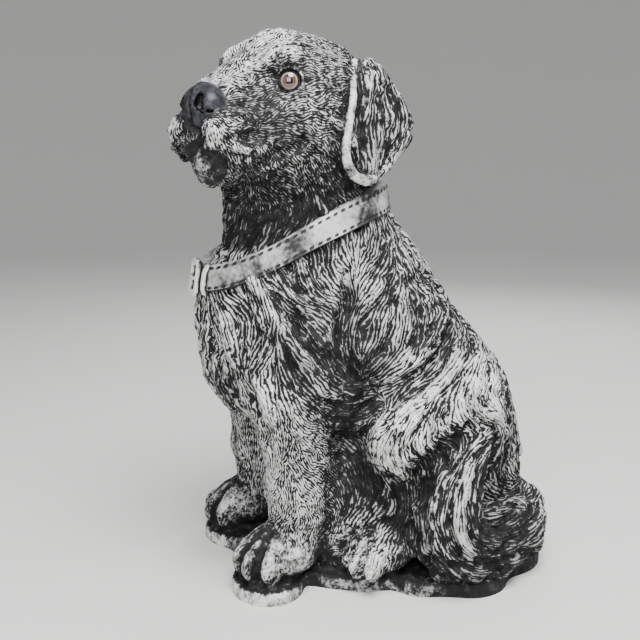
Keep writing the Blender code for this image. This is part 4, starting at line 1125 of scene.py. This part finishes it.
WASH_DARK, WASH_WORN = (0.008, 0.008, 0.009, 1), (0.026, 0.026, 0.026, 1)
WHITE_THIN, WHITE_THICK = (0.50, 0.50, 0.49, 1), (0.74, 0.74, 0.73, 1)
NOSE_DARK, NOSE_WORN = (0.012, 0.0125, 0.015, 1), (0.040, 0.043, 0.050, 1)
NOSTRIL_SHADE = (0.002, 0.002, 0.002, 1)
GRIT, BLOTCH, PATCH, BREAKS, CURL = 480.0, 130.0, 24.0, 260.0, 75.0
BROAD_COMB, FINE_COMB = (72.0, 4.1), (165.0, 2.8)
PAINT_FROM, PAINT_FULL, PAINT_LEVEL, PAINT_SWING = 0.40, 0.84, 0.70, 0.55
FUR_BUMP = 0.0024
fur = Recipe("dry_brushed_concrete")
lock_share, strand_share = fur.attribute("lock"), fur.attribute("strand")
nose_share, hole = fur.attribute("nose"), fur.attribute("hole")
hollow, pale = fur.attribute("hollow"), fur.attribute("pale")
bold, broad = fur.attribute("bold"), fur.attribute("broad")
curl = fur.mottle(CURL, 1.0, "Color", normalize=False)
curl = fur.node("ShaderNodeVectorMath", {"operation": "SCALE"}, {"Vector": curl, "Scale": 1.5 - 1.1 * bold})
across = fur.node("ShaderNodeVectorMath", {"operation": "ADD"},
                  {0: fur.attribute("across", "Vector"), 1: curl})


def combed(scale, waves):
    """Stripes along the hair, from 0 to 1 and back: how far a Gabor wave's phase is from its middle.

    There are scale times waves of them to a metre, and each runs on for about 2 / scale metres.
    """
    sockets = {"Vector": fur.place(), "Scale": scale, "Frequency": waves, "Anisotropy": 1.0, 5: across}
    phase = fur.node("ShaderNodeTexGabor", {"gabor_type": "3D"}, sockets, "Phase")
    off_middle = phase - 0.5
    return 2.0 * off_middle.math("ABSOLUTE", off_middle)


broad_hair, fine_hair = combed(*BROAD_COMB), combed(*FINE_COMB)
comb = fine_hair + (broad_hair - fine_hair) * broad
furry = (bold * 2.2).step(0.0, 1.0)
grit = fur.mottle(GRIT, 3.0)
blotch = fur.mottle(BLOTCH, 3.0)
patch = fur.mottle(PATCH, 3.0)
breaks = fur.mottle(BREAKS, 2.0)
locks_seen = 0.55 * (lock_share - 0.5) * bold
broken = breaks + (blotch - breaks) * broad
strands_seen = (strand_share - 0.5) * bold
plain = 0.5 + 0.7 * (grit - 0.5) + 0.8 * (blotch - 0.5)
strands = 0.5 + 0.9 * (comb - 0.5) + (2.2 - 0.7 * broad) * (broken - 0.5) + 0.8 * (grit - 0.5)
strands = strands + locks_seen + 0.3 * strands_seen
texture = plain * (1 - furry) + strands * furry
# The tone: the pale patches and lines, less the hollows' black wash and painted shade, plus random patches
# of brushing.
tone = (pale - 0.6 * hollow + 0.5 * (patch - 0.5)).step(-0.65, 0.65) - 0.5
high = texture + 0.5 * tone
paint = high.step(PAINT_FROM, PAINT_FULL) * (PAINT_LEVEL + PAINT_SWING * tone)
wash = fur.mix(blotch.step(0.4, 0.7), WASH_DARK, WASH_WORN)
white = fur.mix((0.5 * patch + 0.5 * blotch).step(0.38, 0.6), WHITE_THIN, WHITE_THICK)
worn = fur.mix(paint, wash, white)
leather = fur.mix((0.5 * grit + 0.5 * blotch).step(0.4, 0.65), NOSE_DARK, NOSE_WORN)
# Painted shade, near black, in the nostrils and the groove down the nose.
leather = fur.mix(hole.step(0.1, 0.9), leather, NOSTRIL_SHADE)
colour = fur.mix(nose_share, worn, leather)
depth = (0.35 * comb * furry + 0.3 * grit) * (1 - 0.85 * nose_share)
bump = fur.node("ShaderNodeBump", {}, {"Strength": 1.0, "Distance": FUR_BUMP, "Height": depth})
fur.finish(Base_Color=colour, Roughness=0.75 - 0.38 * nose_share, Specular_IOR_Level=0.2, Normal=bump)

SEAM_AT, SEAM_WAY, SEAM_SOFTNESS = (0, -7.0, 31.0), (0, -0.467, 1), 0.05
HEAD_BOX, HEAD_CELL = ((-9, -21, 25), (12, 3, 50)), 0.268
BODY_BOX, BODY_CELL = ((-15, -19, -2), (16, 19, 37)), 0.457
head_clay, body_clay = Clay(dog.steps), Clay(dog.steps)
head_clay.cut(Beyond(SEAM_AT, np.negative(SEAM_WAY)), SEAM_SOFTNESS)
body_clay.cut(Beyond(SEAM_AT, SEAM_WAY), SEAM_SOFTNESS)
furred("puppy_head", head_clay, *HEAD_BOX, HEAD_CELL, fur.material)
furred("puppy_body", body_clay, *BODY_BOX, BODY_CELL, fur.material)


# The collar
# A stitched leather strap, carved in the clay and cast with the dog. It hangs low at the throat,
# where it buckles, and rides up to the nape. Its lower edge stands proud in a bead with a painted shadow
# under it.
COLLAR_WIDTH, COLLAR_THICKNESS, COLLAR_SUNK = 2.3, 0.42, 1.0
COLLAR_MIDDLE, COLLAR_DROP, COLLAR_SIDE_LIFT, COLLAR_LEAN = 30.5, 3.5, 1.1, 0.35
NECK_AXIS = np.array((0.0, -7.0))
NARROWEST_NECK, WIDEST_NECK, HALVINGS = 3.0, 14.0, 20
STITCH_PITCH, STITCH_INSET, STITCH_WIDTH, STITCH_DEPTH = 0.72, 0.3, 0.09, 0.07
BEAD_UP, BEAD_WIDTH, BEAD_RISE = 0.1, 0.12, 0.1
FACE_SQUARENESS, RIM_SQUARENESS = 0.22, 0.6
STRAP_BLACK, STRAP_WHITE, STRAP_BUMP = (0.016, 0.016, 0.017, 1), (0.52, 0.52, 0.51, 1), 0.0006


def collar_line(turns):
    """Height of the collar's middle at each turn round the neck, from 0 at the buckle."""
    return COLLAR_MIDDLE - COLLAR_DROP * np.cos(turns) + COLLAR_SIDE_LIFT * np.sin(turns) ** 2


def neck_radius(turns, heights):
    """How far out the skin is from the neck's axis, by halving, evened out like a taut strap."""
    ways = np.stack([np.sin(turns), -np.cos(turns), np.zeros_like(turns)], 1)
    axis = np.stack([np.full_like(turns, NECK_AXIS[0]), np.full_like(turns, NECK_AXIS[1]), heights], 1)
    inner, outer = np.full_like(turns, NARROWEST_NECK), np.full_like(turns, WIDEST_NECK)
    for _ in range(HALVINGS):
        middle = (inner + outer) / 2
        inside = bare_dog.distance(axis + ways * middle[:, None]) < 0
        inner, outer = np.where(inside, middle, inner), np.where(inside, outer, middle)
    for _ in range(len(turns) // 8):
        outer = (np.roll(outer, 1) + 2 * outer + np.roll(outer, -1)) / 4
    return outer


def on_neck(turns, rises, proud):
    """Places by turn round the neck, height above the collar's middle and distance off the skin."""
    share = 0.5 + rises / COLLAR_WIDTH
    radius = neck_low + (neck_high - neck_low) * share + proud
    return np.stack([NECK_AXIS[0] + radius * np.sin(turns), NECK_AXIS[1] - radius * np.cos(turns),
                     collar_line(turns) + rises], -1)


AROUND, ACROSS = 620, 40
turns = (np.arange(AROUND) * 2 * math.pi / AROUND)[:, None]
half = COLLAR_WIDTH / 2
neck_low = neck_radius(turns[:, 0], collar_line(turns[:, 0]) - half)[:, None]
neck_high = neck_radius(turns[:, 0], collar_line(turns[:, 0]) + half)[:, None]
neck_high = np.maximum(neck_high, neck_low - COLLAR_LEAN)
angle = np.linspace(0, math.pi, ACROSS)
is_inner = (angle == 0) | (angle == math.pi)
is_face = (angle > 0.1) & (angle < math.pi - 0.1)
rises = -half * np.sign(np.cos(angle)) * abs(np.cos(angle)) ** RIM_SQUARENESS
proud = COLLAR_THICKNESS * np.sin(angle) ** FACE_SQUARENESS - COLLAR_SUNK * is_inner
along = turns * neck_low.mean()
stitched = np.exp(-(((abs(rises) - (half - STITCH_INSET)) / STITCH_WIDTH) ** 2))
gap = smooth((np.sin(along * 2 * math.pi / STITCH_PITCH) + 0.35) / 0.5)
bead = np.exp(-(((rises + half - BEAD_UP) / BEAD_WIDTH) ** 2))
sunk = stitched * (0.06 + 0.94 * (1 - gap))
# A strip of painted shadow along the strap's lower edge.
shadow_under_edge = smooth((0.16 - half - rises) / 0.1)
nape = smooth((1 - np.cos(turns) - 1.15) / 0.6)
proud = proud - STITCH_DEPTH * sunk * is_face + BEAD_RISE * bead * (proud > 0)
strap_corners = on_neck(turns, rises, proud).reshape(-1, 3)
cast_leather = Recipe("brushed_strap")
fine_grain = cast_leather.mottle(260.0, 4.0)
cloud = cast_leather.mottle(38.0, 4.0)
dip = cast_leather.attribute("dip")
height = 0.7 * fine_grain + 1.5 * cloud - dip
strap_colour = cast_leather.mix(height.step(0.72, 1.38), STRAP_BLACK, STRAP_WHITE)
strap_bump = cast_leather.node("ShaderNodeBump", {}, {"Strength": 0.6, "Distance": STRAP_BUMP,
                                                      "Height": fine_grain})
cast_leather.finish(Base_Color=strap_colour, Roughness=0.55, Specular_IOR_Level=0.3, Normal=strap_bump)
# The strap is darker in its stitches, in painted shadow along its lower edge, and a little towards the
# nape.
strap = surface("collar_strap", metres(strap_corners), wrapped(AROUND, ACROSS), cast_leather.material,
                dip=1.2 * sunk + 0.9 * shadow_under_edge + 0.2 * nape)
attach(strap, "root")
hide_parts("puppy_casting")


# The buckle
# A square frame, its prong lying across it, and the keeper loop that holds the strap's end, all carved
# and cast with the collar at the throat. White paint lies on their faces, and black stays round them.
BUCKLE_WIDTH, BUCKLE_HEIGHT, BUCKLE_BAR, BUCKLE_PROUD = 2.6, 3.3, 0.3, 0.75
PRONG_REACH, PRONG_PROUD, PRONG_ARCH, PRONG_WIDTH, PRONG_TAPER = 1.1, 0.8, 0.15, 0.2, 0.05
KEEPER_ASIDE, KEEPER_REACH, KEEPER_PROUD, KEEPER_DIP, KEEPER_WIDTH = 1.9, 1.3, 0.55, 0.35, 0.26
BUCKLE_BLACK, BUCKLE_WHITE, BUCKLE_BUMP = (0.014, 0.014, 0.014, 1), (0.64, 0.64, 0.62, 1), 0.0005


def rounded_square(width, height, count=96, squareness=0.38):
    """A closed outline: each side's cosine or sine is raised to a small power, which squares it."""
    angle = np.arange(count) * 2 * math.pi / count
    across = width / 2 * np.sign(np.cos(angle)) * abs(np.cos(angle)) ** squareness
    up = height / 2 * np.sign(np.sin(angle)) * abs(np.sin(angle)) ** squareness
    return across, up


def bar(path, outward, thick, flat=1.0, closed=True, count=14):
    """A rod along a path: a ring of corners round each point, square to the path and outward.

    It comes with its quads, and with how far each corner faces outwards, from -1 to 1.
    """
    ahead = np.roll(path, -1, 0) - np.roll(path, 1, 0) if closed else np.gradient(path, axis=0)
    ahead /= np.linalg.norm(ahead, axis=1)[:, None]
    sideways = np.cross(ahead, outward)
    sideways /= np.linalg.norm(sideways, axis=1)[:, None]
    angle = np.arange(count) * 2 * math.pi / count
    ring = np.cos(angle)[:, None] * sideways[:, None] * flat + np.sin(angle)[:, None] * outward[:, None]
    thick = np.reshape(thick * np.ones(len(path)), (-1, 1, 1))
    facing = np.sin(angle) + np.zeros((len(path), 1))
    return (path[:, None] + ring * thick).reshape(-1, 3), wrapped(len(path), count, closed), facing


front_low = neck_radius(np.zeros(1), np.array([collar_line(0.0) - half]))[0]


def at_throat(across, up, proud):
    """Places on the throat by width, height and distance off the skin, bent round the neck."""
    radius = front_low - COLLAR_LEAN * (0.5 + up / COLLAR_WIDTH) + proud
    turn = across / front_low
    return np.stack([NECK_AXIS[0] + radius * np.sin(turn), NECK_AXIS[1] - radius * np.cos(turn),
                     collar_line(0.0) + up + 0 * turn], -1)


metal = Recipe("brushed_buckle")
metal_grain = metal.mottle(240.0, 3.0)
brushed_face = metal_grain + 0.5 * metal.attribute("facing")
metal_colour = metal.mix(brushed_face.step(0.45, 0.8), BUCKLE_BLACK, BUCKLE_WHITE)
metal_bump = metal.node("ShaderNodeBump", {}, {"Strength": 0.5, "Distance": BUCKLE_BUMP,
                                               "Height": metal_grain})
metal.finish(Base_Color=metal_colour, Roughness=0.5, Normal=metal_bump)


def buckle_piece(name, path, thick, flat=1.0, closed=True):
    """One bar of the buckle, in the dog's units. Rings of no width close the ends of an open one."""
    if not closed:
        path = np.concatenate([path[:1], path, path[-1:]])
        path[0] += 1e-3 * (path[0] - path[2])
        path[-1] += 1e-3 * (path[-1] - path[-3])
        thick = np.concatenate([[0], thick * np.ones(len(path) - 2), [0]])
    outward = path - np.array([*NECK_AXIS, 0])
    outward[:, 2] = 0
    outward /= np.linalg.norm(outward, axis=1)[:, None]
    corners, faces, facing = bar(path, outward, thick, flat, closed)
    made = surface(name, metres(corners), faces, metal.material, facing=facing)
    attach(made, "root")
    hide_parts("puppy_casting")


across, up = rounded_square(BUCKLE_WIDTH - 2 * BUCKLE_BAR, BUCKLE_HEIGHT - 2 * BUCKLE_BAR)
buckle_piece("buckle_frame", at_throat(across, up, BUCKLE_PROUD), BUCKLE_BAR, 1.1)
line = np.linspace(-1, 1, 24)
prong = at_throat(line * PRONG_REACH, 0 * line, PRONG_PROUD + PRONG_ARCH * (1 - line**2))
buckle_piece("buckle_prong", prong, PRONG_WIDTH - PRONG_TAPER * line, closed=False)
keeper = at_throat(KEEPER_ASIDE + 0 * line, line * KEEPER_REACH, KEEPER_PROUD - KEEPER_DIP * line**4)
buckle_piece("keeper_loop", keeper, KEEPER_WIDTH, 1.3, closed=False)


# The eyes
# Two domes of clear brown resin, set deep in their sockets: a dark pupil, an iris with fine spokes and
# a pale rim, painted shadow of the lid over its upper half, and a nearly black margin of painted shade.
# Each ring is placed by the sine of its angle off the eye's look.
PUPIL, PALE_RIM, OUTER_RING = 0.27, 0.50, 0.64
PUPIL_BLACK, LID_SHADOW = (0.006, 0.005, 0.005, 1), (0.022, 0.014, 0.012, 1)
IRIS_DARK, IRIS_BROWN = (0.070, 0.032, 0.021, 1), (0.17, 0.084, 0.058, 1)
RIM_BROWN, SHADED_MARGIN_BROWN = (0.28, 0.22, 0.20, 1), (0.012, 0.009, 0.008, 1)
DOWN_STEPS, ROUND_STEPS = 50, 64
resin = Recipe("brown_eye_resin")
aim = resin.attribute("aim")
spoke = resin.attribute("spoke")
spokes = resin.node("ShaderNodeTexNoise", {"noise_dimensions": "1D"},
                    {"W": spoke * 9.0, "Scale": 3.0, "Detail": 2.0})
iris = resin.mix(spokes.step(0.35, 0.65), IRIS_DARK, IRIS_BROWN)
iris = resin.mix(resin.attribute("shade").step(0.05, 0.45), iris, LID_SHADOW)
rim = resin.mix((aim - PALE_RIM).step(0.0, 0.1), iris, RIM_BROWN)
seen = resin.mix((aim - OUTER_RING).step(0.0, 0.05), rim, SHADED_MARGIN_BROWN)
whole = resin.mix((aim - PUPIL).step(0.0, 0.07), PUPIL_BLACK, seen)
resin.finish(Base_Color=whole, Roughness=0.06, Coat_Weight=1.0, Coat_Roughness=0.02)
for side, name in ((1, "left_eye"), (-1, "right_eye")):
    looks = HEAD.rotation @ (EYE_LOOKS * (side, 1, 1) / np.linalg.norm(EYE_LOOKS))
    across = np.cross(looks, (0, 0, 1))
    across /= np.linalg.norm(across)
    above = np.cross(across, looks)
    tilt = np.linspace(0, math.pi, DOWN_STEPS)[:, None]
    turn = np.arange(ROUND_STEPS) * 2 * math.pi / ROUND_STEPS
    ring = np.cos(turn)[:, None] * across + np.sin(turn)[:, None] * above
    ball = np.cos(tilt)[..., None] * looks + np.sin(tilt)[..., None] * ring
    corners = HEAD.outward([EYE_AT * (side, 1, 1)])[0] + EYE_RADIUS * ball.reshape(-1, 3)
    off_axis = np.sin(np.minimum(tilt, math.pi / 2)) + np.maximum(tilt - math.pi / 2, 0)
    quads = wrapped(DOWN_STEPS, ROUND_STEPS, row_closed=False)[:, ::-1]
    made = surface(name + "_dome", metres(corners), quads, resin.material, aim=off_axis + 0 * turn,
                   spoke=turn + 0 * tilt, shade=np.sin(tilt) * np.sin(turn))
    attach(made, "root")
    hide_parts(name)
